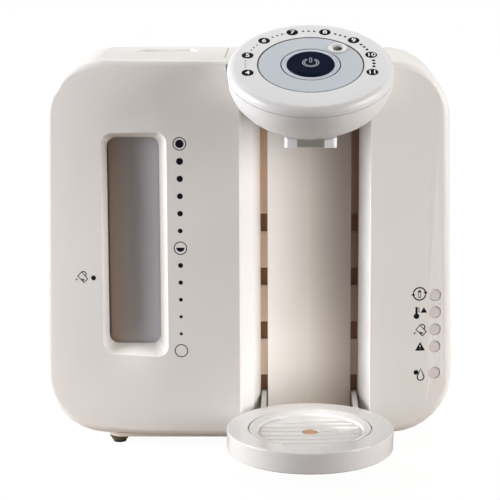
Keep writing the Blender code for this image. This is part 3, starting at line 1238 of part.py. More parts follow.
def make_works():
    """Boiler on its pedestal with the thermostat, and the pump."""
    low = BOILER_BOTTOM
    high = BOILER_BOTTOM + BOILER_HEIGHT
    steel = (0.72, 0.73, 0.74)
    profile = [
        (0, high),
        (BOILER_RADIUS - BOILER_EDGE, high),
        (BOILER_RADIUS - BOILER_EDGE / 4, high - BOILER_EDGE / 4),
        (BOILER_RADIUS, high - BOILER_EDGE),
        (BOILER_RADIUS, low + BOILER_EDGE),
        (BOILER_RADIUS - BOILER_EDGE / 4, low + BOILER_EDGE / 4),
        (BOILER_RADIUS - BOILER_EDGE, low),
        (0, low),
    ]
    boiler = turned_piece("boiler", profile, steel, 0.3, 1.0, steps=28)
    boiler.location = (BOILER_X, BOILER_Y, 0)
    for label, height in boiler_ports():
        join(boiler, as_tool("boiler_stub_" + label, stub(BOILER_X, BOILER_RADIUS, BOILER_Y, height)))
    lip = BOILER_RADIUS + GAP
    profile = [
        (0, low - GAP),
        (lip, low - GAP),
        (lip, low + PEDESTAL_LIP),
        (lip + PEDESTAL_WALL, low + PEDESTAL_LIP),
        (lip + PEDESTAL_WALL, FLOOR_Z),
        (lip - 2 * PEDESTAL_WALL, FLOOR_Z),
        (lip - 2 * PEDESTAL_WALL, low - GAP - WALL),
        (0, low - GAP - WALL),
    ]
    pedestal = turned_piece("boiler_pedestal", profile, (0.3, 0.3, 0.3), 0.6, steps=28)
    pedestal.location = (BOILER_X, BOILER_Y, 0)
    disc = drum(THERMOSTAT_RADIUS, high + GAP, high + GAP + THERMOSTAT_HEIGHT, BOILER_X, BOILER_Y)
    smooth(as_piece("boiler_thermostat", disc, (0.75, 0.73, 0.68), 0.5))

    top = FLOOR_Z + PUMP_FLANGE + PUMP_HEIGHT
    profile = [
        (0, top + STUB_LENGTH),
        (STUB_RADIUS, top + STUB_LENGTH),
        (STUB_RADIUS, top),
        (PUMP_RADIUS - PUMP_FLANGE, top),
        (PUMP_RADIUS, top - PUMP_FLANGE),
        (PUMP_RADIUS, FLOOR_Z + PUMP_FLANGE),
        (PUMP_FLANGE_RADIUS, FLOOR_Z + PUMP_FLANGE),
        (PUMP_FLANGE_RADIUS, FLOOR_Z),
        (0, FLOOR_Z),
    ]
    pump = turned_piece("water_pump", profile, (0.15, 0.15, 0.16), 0.5, steps=24)
    pump.location = (PUMP_X, DOCK_Y, 0)
    join(pump, as_tool("pump_stub", stub(PUMP_X, PUMP_RADIUS, DOCK_Y, FEED_Z)))


def boiler_ports():
    high = BOILER_BOTTOM + BOILER_HEIGHT
    return (("feed", BOILER_BOTTOM + BOILER_HEIGHT / 2), ("hot", high - 4 * STUB_RADIUS))


def smooth_route(points, steps=6):
    """A smooth curve through a route's points, its first and last stretch left straight."""
    fine = [points[0]]
    for index in range(1, len(points) - 2):
        before, start, end, after = points[index - 1 : index + 3]
        for step in range(steps):
            t = step / steps
            curve = 2 * start + (end - before) * t + (2 * before - 5 * start + 4 * end - after) * t**2
            fine.append((curve + (3 * start - before - 3 * end + after) * t**3) / 2)
    return [*fine, *points[max(len(points) - 2, 1) :]]


def hose(name, points, colour=(0.85, 0.85, 0.83)):
    curve = bpy.data.curves.new(name, "CURVE")
    curve.dimensions = "3D"
    curve.bevel_depth = HOSE_RADIUS
    curve.bevel_resolution = 2
    curve.use_fill_caps = True
    route = smooth_route([Vector(point) for point in points])
    spline = curve.splines.new("POLY")
    spline.points.add(len(route) - 1)
    for target, place in zip(spline.points, route):
        target.co = (*place, 1.0)
    made = bpy.data.objects.new(name, curve)
    PARTS.objects.link(made)
    curve.materials.append(finish_material(name, colour, 0.4))


def straight_end(end, direction):
    """The two points of a hose's straight end: face to face with its port, and a little out from it."""
    way = Vector(direction)
    return [Vector(end) + way * GAP, Vector(end) + way * HOSE_END]


def way_from(level, way, shares):
    """The points of a way: across from the axis, behind the face by shares of the depth, up from a level."""
    points = []
    for (x, z), share in zip(way, shares):
        points.append(Vector((AXIS_X + x, FRONT_Y + share * BODY_DEPTH, level + z)))
    return points


def led_hose(name, start, way, end):
    """A hose between two ports, led over the points of its way."""
    hose(name, [*straight_end(*start), *way, *reversed(straight_end(*end))])


def make_hoses(valve_low, valve_high, shroud_y):
    """Hoses from the cradle to the pump, filter, valve, boiler and nozzles, each seated face to face."""
    left, back, forward, up = (-1, 0, 0), (0, 1, 0), (0, -1, 0), (0, 0, 1)
    pump_side = PUMP_X - PUMP_RADIUS - STUB_LENGTH
    hose("feed_hose", [(TANK_RIGHT + GAP, DOCK_Y, FEED_Z), (pump_side - GAP, DOCK_Y, FEED_Z)])
    pump_top = FLOOR_Z + PUMP_FLANGE + PUMP_HEIGHT + STUB_LENGTH
    filter_x = CHAMBER_X - CHAMBER_RADIUS - STUB_LENGTH
    low_port, high_port = chamber_ports()
    boiler_x = BOILER_X - BOILER_RADIUS - STUB_LENGTH
    feed_z, hot_z = (height for _, height in boiler_ports())
    valve_y = (valve_low[1] + valve_high[1]) / 2
    valve_z = (valve_low[2] + valve_high[2]) / 2
    valve_rear_x = valve_low[0] + 2 * HOSE_RADIUS
    pipe_top = SHROUD_BOTTOM + PIPE_LENGTH - GAP
    hot_x = AXIS_X - PIPE_HALF_SPACING
    cold_x = AXIS_X + PIPE_HALF_SPACING
    led_hose(
        "filter_hose",
        ((PUMP_X, DOCK_Y, pump_top), up),
        way_from(low_port, FILTER_HOSE_LOW_WAY, FILTER_HOSE_LOW_SHARES),
        ((filter_x, CHAMBER_Y, low_port), left),
    )
    led_hose(
        "valve_hose",
        ((filter_x, CHAMBER_Y, high_port), left),
        way_from(BODY_TOP, VALVE_HOSE_TOP_WAY, VALVE_HOSE_TOP_SHARES),
        ((valve_low[0], valve_y, valve_z), left),
    )
    led_hose(
        "boiler_hose",
        ((valve_rear_x, valve_high[1], valve_z), back),
        way_from(BODY_TOP, BOILER_HOSE_TOP_WAY, BOILER_HOSE_TOP_SHARES)
        + way_from(feed_z, BOILER_HOSE_LOW_WAY, BOILER_HOSE_LOW_SHARES),
        ((boiler_x, BOILER_Y, feed_z), left),
    )
    led_hose(
        "hot_hose",
        ((hot_x, shroud_y, pipe_top), up),
        way_from(BODY_TOP, HOT_HOSE_TOP_WAY, HOT_HOSE_TOP_SHARES)
        + way_from(hot_z, HOT_HOSE_LOW_WAY, HOT_HOSE_LOW_SHARES),
        ((boiler_x, BOILER_Y, hot_z), left),
    )
    led_hose(
        "cold_hose",
        ((cold_x, shroud_y, pipe_top), up),
        way_from(BODY_TOP, COLD_HOSE_TOP_WAY, COLD_HOSE_TOP_SHARES),
        ((cold_x, valve_low[1], valve_z), forward),
    )


def make_electrics():
    """Lenses with their board, the power board on its standoffs, and the mains inlet."""
    for index, height in enumerate(LENS_HEIGHTS):
        lens = as_piece(
            "indicator_lens_" + str(index + 1),
            drum(LENS_RADIUS, -LENS_LENGTH, -LENS_RECESS),
            (0.78, 0.74, 0.72),
            0.25,
        )
        lens.matrix_world = face_frame(LENS_X, height)
        smooth(lens)
    low = min(LENS_HEIGHTS) - INDICATOR_BOARD_MARGIN
    high = max(LENS_HEIGHTS) + INDICATOR_BOARD_MARGIN
    middle = (low + high) / 2
    half = INDICATOR_BOARD_WIDTH / 2
    board_top = -LENS_LENGTH - GAP
    board_low = (-half, low - middle, board_top - BOARD_THICKNESS)
    slab = block(board_low, (half, high - middle, board_top))
    board = as_piece("indicator_board", slab, (0.05, 0.3, 0.15), 0.4)
    board.matrix_world = face_frame(LENS_X, middle)

    front = FRONT_Y + POWER_BOARD_FRONT_INSET
    back = REAR_Y - POWER_BOARD_REAR_INSET
    low_z = FLOOR_Z + STANDOFF_HEIGHT
    board_low = (POWER_BOARD_LEFT, front, low_z)
    board_high = (POWER_BOARD_RIGHT, back, low_z + BOARD_THICKNESS)
    power = as_piece("power_board", block(board_low, board_high), (0.05, 0.3, 0.15), 0.4)
    posts = bmesh.new()
    for x in (POWER_BOARD_LEFT + STANDOFF_INSET, POWER_BOARD_RIGHT - STANDOFF_INSET):
        for y in (front + STANDOFF_INSET, back - STANDOFF_INSET):
            add_to(posts, drum(STANDOFF_RADIUS, FLOOR_Z, low_z + BOARD_THICKNESS / 2, x, y, 12))
    join(power, as_tool("standoffs", posts))
    core_x = (POWER_BOARD_LEFT + POWER_BOARD_RIGHT - TRANSFORMER_SIZE[0]) / 2
    core_low = (core_x, front + 2 * STANDOFF_INSET, low_z + BOARD_THICKNESS / 2)
    core_high = tuple(a + b for a, b in zip(core_low, TRANSFORMER_SIZE))
    join(power, as_tool("transformer", block(core_low, core_high)))

    half_x, half_z = INLET_SIZE[0] / 2, INLET_SIZE[1] / 2
    inlet_front = REAR_Y - GAP - INLET_SIZE[2]
    inlet_low = (INLET_X - half_x, inlet_front, INLET_Z - half_z)
    inlet_high = (INLET_X + half_x, REAR_Y - GAP, INLET_Z + half_z)
    inlet = as_piece("mains_inlet", block(inlet_low, inlet_high), (0.06,) * 3)
    pocket_y = REAR_Y - GAP - INLET_POCKET
    pocket_low = (INLET_X - half_x + INLET_WALL, pocket_y, INLET_Z - half_z + INLET_WALL)
    pocket_high = (INLET_X + half_x - INLET_WALL, REAR_Y + OVERRUN, INLET_Z + half_z - INLET_WALL)
    cut(inlet, as_tool("inlet_pocket_cut", block(pocket_low, pocket_high)))
    pins = bmesh.new()
    for column, rise in ((-1, -1), (0, 1), (1, -1)):
        x = INLET_X + column * INLET_PIN_SPACING
        z = INLET_Z + rise * INLET_PIN[1] / 3
        pin_low = (x - INLET_PIN[0] / 2, pocket_y - OVERRUN, z - INLET_PIN[1] / 2)
        add_to(pins, block(pin_low, (x + INLET_PIN[0] / 2, pocket_y + INLET_PIN[2], z + INLET_PIN[1] / 2)))
    join(inlet, as_tool("inlet_pins", pins))


fascia, housing, arch, pocket = make_shells()
make_base(fascia, housing)
make_bay(arch)
valve_low, valve_high = make_head_bracket()
make_tank()
make_filter()
shroud_y = make_head(pocket)
make_stand()
make_works()
make_hoses(valve_low, valve_high, shroud_y)
make_electrics()
bpy.context.view_layer.update()
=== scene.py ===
"""Looks of a baby formula maker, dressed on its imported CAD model.

Every length is in metres. The pieces stand where the CAD model has them, apart from the bowl and the nozzle,
as their sections say. The camera, the floor and the lamps come first, and then the machine in the order in
which it is put together: body, base, bay, tank, filter, head, nozzle, stand, prints, lights and the works.
"""

import json
import math

import bpy
from mathutils import Matrix, Vector

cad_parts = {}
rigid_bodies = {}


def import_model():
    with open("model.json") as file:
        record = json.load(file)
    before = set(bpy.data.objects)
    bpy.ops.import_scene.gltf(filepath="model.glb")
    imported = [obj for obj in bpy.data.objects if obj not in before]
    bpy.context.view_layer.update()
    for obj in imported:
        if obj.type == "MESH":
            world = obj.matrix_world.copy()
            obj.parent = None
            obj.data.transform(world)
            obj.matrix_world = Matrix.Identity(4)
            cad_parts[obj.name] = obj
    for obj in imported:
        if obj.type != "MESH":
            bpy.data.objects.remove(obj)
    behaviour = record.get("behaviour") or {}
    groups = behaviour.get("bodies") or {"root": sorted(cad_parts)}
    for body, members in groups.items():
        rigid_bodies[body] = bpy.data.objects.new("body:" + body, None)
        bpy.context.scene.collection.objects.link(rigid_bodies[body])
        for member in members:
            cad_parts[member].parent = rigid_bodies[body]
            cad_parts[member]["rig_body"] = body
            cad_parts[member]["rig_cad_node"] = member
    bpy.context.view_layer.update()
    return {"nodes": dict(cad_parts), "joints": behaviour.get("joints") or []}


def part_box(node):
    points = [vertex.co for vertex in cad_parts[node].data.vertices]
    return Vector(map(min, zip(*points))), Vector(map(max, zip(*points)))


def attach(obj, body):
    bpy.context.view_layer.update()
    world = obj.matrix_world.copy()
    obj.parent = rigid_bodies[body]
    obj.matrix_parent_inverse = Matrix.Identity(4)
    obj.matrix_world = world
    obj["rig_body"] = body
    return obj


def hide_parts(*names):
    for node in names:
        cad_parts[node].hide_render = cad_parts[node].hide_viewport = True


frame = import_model()

# Camera. It stands 1.25 m in front of the body's face, a little to the right and above the machine's top, and
# looks down on it. The picture is shifted, as the photograph's is, so that the sides stay nearly upright.
camera_distance = 1.250
camera_side = 0.033
camera_height = 0.4112
camera_pitch = math.radians(9.0)
picture_size = 500
lens_in_pixels = 1775.55
shift_in_pixels = (-43.3, -89.5)
sensor_width = 36.0
nearest_seen = 0.05
body_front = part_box("front_fascia")[0].y

camera_data = bpy.data.cameras.new("photo_camera")
camera_data.sensor_width = sensor_width
camera_data.lens = sensor_width * lens_in_pixels / picture_size
camera_data.shift_x = shift_in_pixels[0] / picture_size
camera_data.shift_y = shift_in_pixels[1] / picture_size
camera_data.clip_start = nearest_seen
camera = bpy.data.objects.new("photo_camera", camera_data)
camera.location = (camera_side, body_front - camera_distance, camera_height)
camera.rotation_euler = (math.pi / 2 - camera_pitch, 0.0, 0.0)
bpy.context.scene.collection.objects.link(camera)
bpy.context.scene.camera = camera


# Floor and studio. One sheet of paper lies under the machine. The eye sees it white with a soft shadow, but
# the machine is lit by its real tone, which is dark in front so that the front of the tray stays dark. The
# world gives no light of its own and is only white behind the machine.
def clear_selection():
    if bpy.context.object and bpy.context.object.mode != "OBJECT":
        bpy.ops.object.mode_set(mode="OBJECT")
    bpy.ops.object.select_all(action="DESELECT")


def seen_directly(tree):
    """1 for rays from the eye, also through glass, and 0 for the light that falls on the machine."""
    path = tree.nodes.new("ShaderNodeLightPath")
    through = tree.nodes.new("ShaderNodeMath")
    through.operation = "MAXIMUM"
    tree.links.new(path.outputs["Is Camera Ray"], through.inputs[0])
    tree.links.new(path.outputs["Is Transmission Ray"], through.inputs[1])
    return through.outputs[0]


floor_size = 6.0
floor_roughness = 0.9
floor_white = 1.14
floor_white_share = 0.84
shadow_reach = (0.25, 0.60)
paper_front_y, paper_back_y = -0.20, -0.05
paper_front_tone = (0.16, 0.13, 0.11, 1)
paper_back_tone = (0.52, 0.44, 0.38, 1)
clear_selection()
bpy.ops.mesh.primitive_plane_add(size=floor_size, location=(0, 0, 0))
floor = bpy.context.object
floor.name = "studio_floor"
floor_finish = bpy.data.materials.new("studio_paper")
floor_finish.use_nodes = True
tree = floor_finish.node_tree
shader = tree.nodes["Principled BSDF"]
shader.inputs["Roughness"].default_value = floor_roughness
white = tree.nodes.new("ShaderNodeEmission")
white.inputs["Strength"].default_value = floor_white
where = tree.nodes.new("ShaderNodeTexCoord")
split = tree.nodes.new("ShaderNodeSeparateXYZ")
tree.links.new(where.outputs["Object"], split.inputs[0])
depth = tree.nodes.new("ShaderNodeMapRange")
depth.inputs["From Min"].default_value = paper_front_y
depth.inputs["From Max"].default_value = paper_back_y
tree.links.new(split.outputs["Y"], depth.inputs["Value"])
paper = tree.nodes.new("ShaderNodeValToRGB")
paper.color_ramp.elements[0].color = paper_front_tone
paper.color_ramp.elements[1].color = paper_back_tone
tree.links.new(depth.outputs["Result"], paper.inputs["Fac"])
tree.links.new(paper.outputs["Color"], shader.inputs["Base Color"])
reach = tree.nodes.new("ShaderNodeVectorMath")
reach.operation = "LENGTH"
tree.links.new(where.outputs["Object"], reach.inputs[0])
paler = tree.nodes.new("ShaderNodeMapRange")
paler.inputs["From Min"].default_value = shadow_reach[0]
paler.inputs["From Max"].default_value = shadow_reach[1]
paler.inputs["To Min"].default_value = floor_white_share
paler.inputs["To Max"].default_value = 1.0
tree.links.new(reach.outputs["Value"], paler.inputs["Value"])
share = tree.nodes.new("ShaderNodeMath")
share.operation = "MULTIPLY"
tree.links.new(seen_directly(tree), share.inputs[0])
tree.links.new(paler.outputs["Result"], share.inputs[1])
mixed = tree.nodes.new("ShaderNodeMixShader")
tree.links.new(share.outputs[0], mixed.inputs["Fac"])
tree.links.new(shader.outputs[0], mixed.inputs[1])
tree.links.new(white.outputs[0], mixed.inputs[2])
tree.links.new(mixed.outputs[0], tree.nodes["Material Output"].inputs["Surface"])
floor.data.materials.append(floor_finish)

world = bpy.data.worlds.new("studio")
bpy.context.scene.world = world
world.use_nodes = True
tree = world.node_tree
unlit = tree.nodes["Background"]
unlit.inputs["Strength"].default_value = 0.0
behind = tree.nodes.new("ShaderNodeBackground")
behind.inputs["Color"].default_value = (1, 1, 1, 1)
behind.inputs["Strength"].default_value = 1.0
mixed = tree.nodes.new("ShaderNodeMixShader")
tree.links.new(seen_directly(tree), mixed.inputs["Fac"])
tree.links.new(unlit.outputs[0], mixed.inputs[1])
tree.links.new(behind.outputs[0], mixed.inputs[2])
tree.links.new(mixed.outputs[0], tree.nodes["World Output"].inputs["Surface"])
bpy.context.scene.view_settings.view_transform = "Standard"


# Lamps. Two wide soft boxes stand at the sides and show in the gloss. A weak one over the front and one over
# the back don't. The front, which faces none of them, stays darker and warmer.
def soft_box(name, place, aim, size, power, colour, mirrored=True, spread=180.0, height=0.0):
    """A round lamp of a size, or a strip where it has a height. The gloss shows it where it is mirrored."""
    lamp = bpy.data.lights.new(name, "AREA")
    lamp.shape = "DISK"
    lamp.size = size
    if height:
        lamp.shape = "RECTANGLE"
        lamp.size_y = height
    lamp.energy = power
    lamp.color = colour
    lamp.spread = math.radians(spread)
    holder = bpy.data.objects.new(name, lamp)
    holder.location = place
    way = Vector(aim) - Vector(place)
    holder.rotation_euler = way.to_track_quat("-Z", "Y").to_euler()
    holder.visible_camera = False
    holder.visible_glossy = mirrored
    bpy.context.scene.collection.objects.link(holder)


machine_middle = (0, 0, 0.15)
box_size = 1.05
soft_box("left_box", (-1.38, -0.21, 0.45), machine_middle, box_size, 32.0, (0.95, 0.96, 1.0))
soft_box("right_box", (1.30, -0.50, 0.45), machine_middle, box_size, 18.0, (0.98, 0.98, 1.0))
soft_box("high_box", (0.5, -0.5, 1.36), machine_middle, box_size, 2.4, (1.0, 0.90, 0.74), mirrored=False)
soft_box("back_box", (0.0, 0.8, 1.3), machine_middle, box_size, 19.0, (0.96, 0.98, 1.0), mirrored=False)

# Small lamps. The big ones hardly reach into the bay, so three thin strips in its mouth light the back wall,
# the right flank and the foot of the wall. A spot lights the ledge under the window.
strip_width = 0.02
soft_box(
    "bay_strip", (0.070, -0.035, 0.110), (0.016, 0.04, 0.10), strip_width, 0.017, (1.0, 0.96, 0.90),
    mirrored=False, spread=75.0, height=0.23,
)
soft_box(
    "flank_strip", (0.010, -0.030, 0.11), (0.088, 0.005, 0.11), strip_width, 0.009, (0.90, 0.95, 1.0),
    mirrored=False, spread=60.0, height=0.17,
)
soft_box(
    "low_strip", (0.045, -0.012, 0.058), (0.045, 0.04, 0.050), 0.06, 0.0035, (1.0, 0.95, 0.88),
    mirrored=False, spread=130.0, height=0.02,
)
soft_box(
    "ledge_lamp", (-0.083, -0.010, 0.088), (-0.083, 0.006, 0.055), 0.03, 0.0007, (1.0, 0.98, 0.96),
    mirrored=False, spread=80.0,
)


# Body. The front fascia and the rear housing are two mouldings in warm white ABS that meet at a fine seam.
# Each is the CAD solid welded, its flat faces joined and its edges broken, in plastic with a fine grain.
def moulded_plastic(name, colour, roughness, grain=0.03, grain_scale=1400.0, vary=0.02):
    """Moulded plastic: a fine spark-eroded grain, slight changes of tone, and gloss that varies a little."""
    cloud_scale, cloud_detail = 9.0, 3.0
    cloud_low, cloud_high = 0.3, 0.7
    gloss_change = 0.1
    grain_detail, grain_depth = 2.0, 0.0002
    finish = bpy.data.materials.new(name)
    finish.use_nodes = True
    tree = finish.node_tree
    shader = tree.nodes["Principled BSDF"]
    where = tree.nodes.new("ShaderNodeTexCoord")
    tone = tree.nodes.new("ShaderNodeTexNoise")
    tone.inputs["Scale"].default_value = cloud_scale
    tone.inputs["Detail"].default_value = cloud_detail
    tree.links.new(where.outputs["Object"], tone.inputs["Vector"])
    ramp = tree.nodes.new("ShaderNodeValToRGB")
    ramp.color_ramp.elements[0].position = cloud_low
    ramp.color_ramp.elements[1].position = cloud_high
    ramp.color_ramp.elements[0].color = (*[part * (1 - vary) for part in colour], 1)
    ramp.color_ramp.elements[1].color = (*[min(part * (1 + vary), 1.0) for part in colour], 1)
    tree.links.new(tone.outputs["Fac"], ramp.inputs["Fac"])
    tree.links.new(ramp.outputs["Color"], shader.inputs["Base Color"])
    gloss = tree.nodes.new("ShaderNodeMapRange")
    gloss.inputs["To Min"].default_value = roughness * (1 - gloss_change)
    gloss.inputs["To Max"].default_value = roughness * (1 + gloss_change)
    tree.links.new(tone.outputs["Fac"], gloss.inputs["Value"])
    tree.links.new(gloss.outputs["Result"], shader.inputs["Roughness"])
    fine = tree.nodes.new("ShaderNodeTexNoise")
    fine.inputs["Scale"].default_value = grain_scale
    fine.inputs["Detail"].default_value = grain_detail
    tree.links.new(where.outputs["Object"], fine.inputs["Vector"])
    bump = tree.nodes.new("ShaderNodeBump")
    bump.inputs["Strength"].default_value = grain
    bump.inputs["Distance"].default_value = grain_depth
    tree.links.new(fine.outputs["Fac"], bump.inputs["Height"])
    tree.links.new(bump.outputs["Normal"], shader.inputs["Normal"])
    return finish


def weld(piece):
    """Joins the loose triangles of a piece into one skin and its level triangles into whole faces."""
    same_spot = 0.00001
    same_plane = math.radians(0.6)
    clear_selection()
    bpy.context.view_layer.objects.active = piece
    piece.select_set(True)
    bpy.ops.object.mode_set(mode="EDIT")
    bpy.ops.mesh.select_all(action="SELECT")
    bpy.ops.mesh.remove_doubles(threshold=same_spot)
    bpy.ops.mesh.dissolve_limited(angle_limit=same_plane)
    bpy.ops.object.mode_set(mode="OBJECT")


def shell_of(node, finish, edge=0.0, soft=30.0, steps=2):
    """A welded copy of a CAD node in its finish, which stands in for the node.

    Its edges are broken by the width of edge, and it is smooth where it turns by less than soft degrees.
    """
    source = frame["nodes"][node]
    body = source["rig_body"]
    piece = source.copy()
    piece.data = source.data.copy()
    piece.name = piece.data.name = node + "_moulded"
    piece.parent = None
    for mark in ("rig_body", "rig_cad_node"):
        del piece[mark]
    bpy.context.scene.collection.objects.link(piece)
    weld(piece)
    if edge:
        softened = piece.modifiers.new("broken_edges", "BEVEL")
        softened.width = edge
        softened.segments = steps
        softened.limit_method = "ANGLE"
        softened.angle_limit = math.radians(soft)
        softened.use_clamp_overlap = True
        bpy.ops.object.modifier_apply(modifier=softened.name)
    bpy.ops.object.shade_smooth_by_angle(angle=math.radians(soft))
    level = piece.modifiers.new("level_faces", "WEIGHTED_NORMAL")
    level.keep_sharp = True
    bpy.ops.object.modifier_apply(modifier=level.name)
    piece.data.materials.clear()
    piece.data.materials.append(finish)
    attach(piece, body)
    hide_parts(node)
    return piece


body_plastic = moulded_plastic("body_warm_white", (0.885, 0.855, 0.815), 0.42)
fascia = shell_of("front_fascia", body_plastic, 0.0006)
housing = shell_of("rear_housing", body_plastic, 0.0005)

# Base. A flat plate closes the body from below. It is screwed up into the shells and stands on four tapered
# feet, each with a dark rubber pad against slipping.
base_plastic = moulded_plastic("base_beige", (0.90, 0.84, 0.74), 0.6, grain=0.08)
shell_of("base_plate", base_plastic, 0.0004)
# The feet are dark olive: painted shade under the body.
foot_painted_shade = moulded_plastic("foot_olive", (0.13, 0.105, 0.06), 0.5, grain=0.05)
pad_rubber = moulded_plastic("pad_black_rubber", (0.03, 0.028, 0.026), 0.85, grain=0.2, grain_scale=2500.0)


def bare_steel(name, colour):
    """Bare or plated steel, whose gloss changes from grain to grain."""
    steel_grain = 700.0
    bright, dull = 0.22, 0.42
    finish = bpy.data.materials.new(name)
    finish.use_nodes = True
    tree = finish.node_tree
    shader = tree.nodes["Principled BSDF"]
    shader.inputs["Base Color"].default_value = (*colour, 1)
    shader.inputs["Metallic"].default_value = 1.0
    where = tree.nodes.new("ShaderNodeTexCoord")
    plating = tree.nodes.new("ShaderNodeTexNoise")
    plating.inputs["Scale"].default_value = steel_grain
    tree.links.new(where.outputs["Object"], plating.inputs["Vector"])
    gloss = tree.nodes.new("ShaderNodeMapRange")
    gloss.inputs["To Min"].default_value = bright
    gloss.inputs["To Max"].default_value = dull
    tree.links.new(plating.outputs["Fac"], gloss.inputs["Value"])
    tree.links.new(gloss.outputs["Result"], shader.inputs["Roughness"])
    return finish


screw_steel = bare_steel("plated_screw_steel", (0.55, 0.55, 0.56))
for end in ("front", "rear"):
    for side in ("left", "right"):
        corner = end + "_" + side
        shell_of("foot_" + corner, foot_painted_shade, 0.0004)
        shell_of("foot_pad_" + corner, pad_rubber, 0.0002)
        shell_of("base_screw_" + corner, screw_steel, 0.0002)

# Bay. One moulding in warm white ABS with two flared flanks, a hollow back wall and two grooves, whose slots
# hold the stand's arms. The grooves carry painted shade, warmer and the right one darker, and the back wall has
# painted shade that darkens it to the right.
bay_plastic = moulded_plastic("bay_warm_white", (0.85, 0.835, 0.815), 0.36, grain=0.02)
bay = shell_of("bay_liner", bay_plastic, 0.0004)


def shade_along(finish, axis, reach, tones):
    """Paints light and shade into a finish along X, Y or Z over a reach (from, to): each tone is (share of the
    way, colour).
    """
    tree = finish.node_tree
    base = tree.nodes["Principled BSDF"].inputs["Base Color"]
    plain = base.links[0].from_socket
    where = tree.nodes.new("ShaderNodeTexCoord")
    split = tree.nodes.new("ShaderNodeSeparateXYZ")
    tree.links.new(where.outputs["Object"], split.inputs[0])
    along = tree.nodes.new("ShaderNodeMapRange")
    along.inputs["From Min"].default_value = reach[0]
    along.inputs["From Max"].default_value = reach[1]
    tree.links.new(split.outputs[axis], along.inputs["Value"])
    ramp = tree.nodes.new("ShaderNodeValToRGB")
    steps = ramp.color_ramp.elements
    while len(steps) < len(tones):
        steps.new(0.5)
    for step, (share, colour) in zip(steps, tones):
        step.position = share
        step.color = (*colour, 1)
    tree.links.new(along.outputs["Result"], ramp.inputs["Fac"])
    both = tree.nodes.new("ShaderNodeMix")
    both.data_type = "RGBA"
    both.blend_type = "MULTIPLY"
    both.inputs["Factor"].default_value = 1.0
    tree.links.new(plain, both.inputs["A"])
    tree.links.new(ramp.outputs["Color"], both.inputs["B"])
    tree.links.new(both.outputs["Result"], base)


grooves = [("left", 0.00835, 0.01405), ("right", 0.07585, 0.08155)]
groove_allowance = 0.0002
groove_front_y, groove_back_y = 0.0406, 0.0480
wall_front_y, wall_back_y = 0.0395, 0.0445
wall_left_x, wall_right_x = grooves[0][2], grooves[1][1]
left_groove_reach, right_groove_reach, wall_reach = (0.02, 0.24), (0.05, 0.16), (0.014, 0.074)
# Painted shade: the left groove turns browner upwards, the right one darker upwards, and the back wall darkens
# towards the right.
left_groove_painted_shade = moulded_plastic("groove_tan_painted_shade", (0.94, 0.90, 0.86), 0.5, grain=0.03)
left_groove_shade_tones = [(0.0, (1.0, 0.94, 0.88)), (1.0, (1.0, 0.84, 0.70))]
shade_along(left_groove_painted_shade, "Z", left_groove_reach, left_groove_shade_tones)
right_groove_painted_shade = moulded_plastic("groove_brown_painted_shade", (0.86, 0.78, 0.70), 0.5, grain=0.03)
right_groove_shade_tones = [(0.0, (0.80, 0.70, 0.62)), (1.0, (0.62, 0.44, 0.35))]
shade_along(right_groove_painted_shade, "Z", right_groove_reach, right_groove_shade_tones)
back_wall_painted_shade = moulded_plastic("back_wall_white_painted_shade", (0.92, 0.90, 0.88), 0.4, grain=0.02)
wall_shade_tones = [(0.0, (1.0, 1.0, 1.0)), (0.5, (0.96, 0.94, 0.91)), (1.0, (0.54, 0.48, 0.44))]
shade_along(back_wall_painted_shade, "X", wall_reach, wall_shade_tones)
for plastic in (left_groove_painted_shade, right_groove_painted_shade, back_wall_painted_shade):
    bay.data.materials.append(plastic)
# The groove and back-wall faces take these painted-shade finishes.
left_groove_slot, back_wall_slot = 1, 3
for face in bay.data.polygons:
    x, y, _ = face.center
    for index, (_, low_x, high_x) in enumerate(grooves, start=left_groove_slot):
        in_groove = low_x - groove_allowance < x < high_x + groove_allowance
        if in_groove and groove_front_y < y < groove_back_y:
            face.material_index = index
    if wall_left_x < x < wall_right_x and wall_front_y < y < wall_back_y:
        face.material_index = back_wall_slot

# Groove strips. A brown strip is clipped over the back of each groove as painted shade, so that the slots show
# dark brown and nothing behind the bay can be seen through them.
# The strip's brown is painted shade for the inside of the slots.
strip_painted_shade = moulded_plastic("strip_painted_shade", (0.37, 0.20, 0.12), 0.7, grain=0.1, grain_scale=900.0)
strip_front_y, strip_back_y = 0.0495, 0.0505
strip_low_z, strip_high_z = 0.0170, 0.2560
strip_overlap = 0.001
strip_edge = 0.0002
for side, low_x, high_x in grooves:
    strip_size = (high_x - low_x + 2 * strip_overlap, strip_back_y - strip_front_y, strip_high_z - strip_low_z)
    middle = ((low_x + high_x) / 2, (strip_front_y + strip_back_y) / 2, (strip_low_z + strip_high_z) / 2)
    clear_selection()
    bpy.ops.mesh.primitive_cube_add(size=1.0, location=(0, 0, 0))
    strip = bpy.context.object
    strip.name = strip.data.name = "groove_strip_" + side
    bpy.ops.object.mode_set(mode="EDIT")
    bpy.ops.mesh.select_all(action="SELECT")
    bpy.ops.transform.resize(value=strip_size)
    bpy.ops.mesh.bevel(offset=strip_edge, segments=2)
    bpy.ops.object.mode_set(mode="OBJECT")
    strip.data.transform(Matrix.Translation(middle))
    bpy.ops.object.shade_smooth_by_angle(angle=math.radians(30))
    strip.data.materials.append(strip_painted_shade)
    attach(strip, "machine")

# Tank. A smoke-tinted tank stands on its cradle behind the window, over a dock seal and a valve. Its front
# wall has painted light and shade, from brown at the left to pale blue-grey at the right. Its lid closes flush
# with the top and has a finger pocket.
tank_plastic = moulded_plastic("tank_smoke", (0.34, 0.33, 0.325), 0.2, grain=0.01)
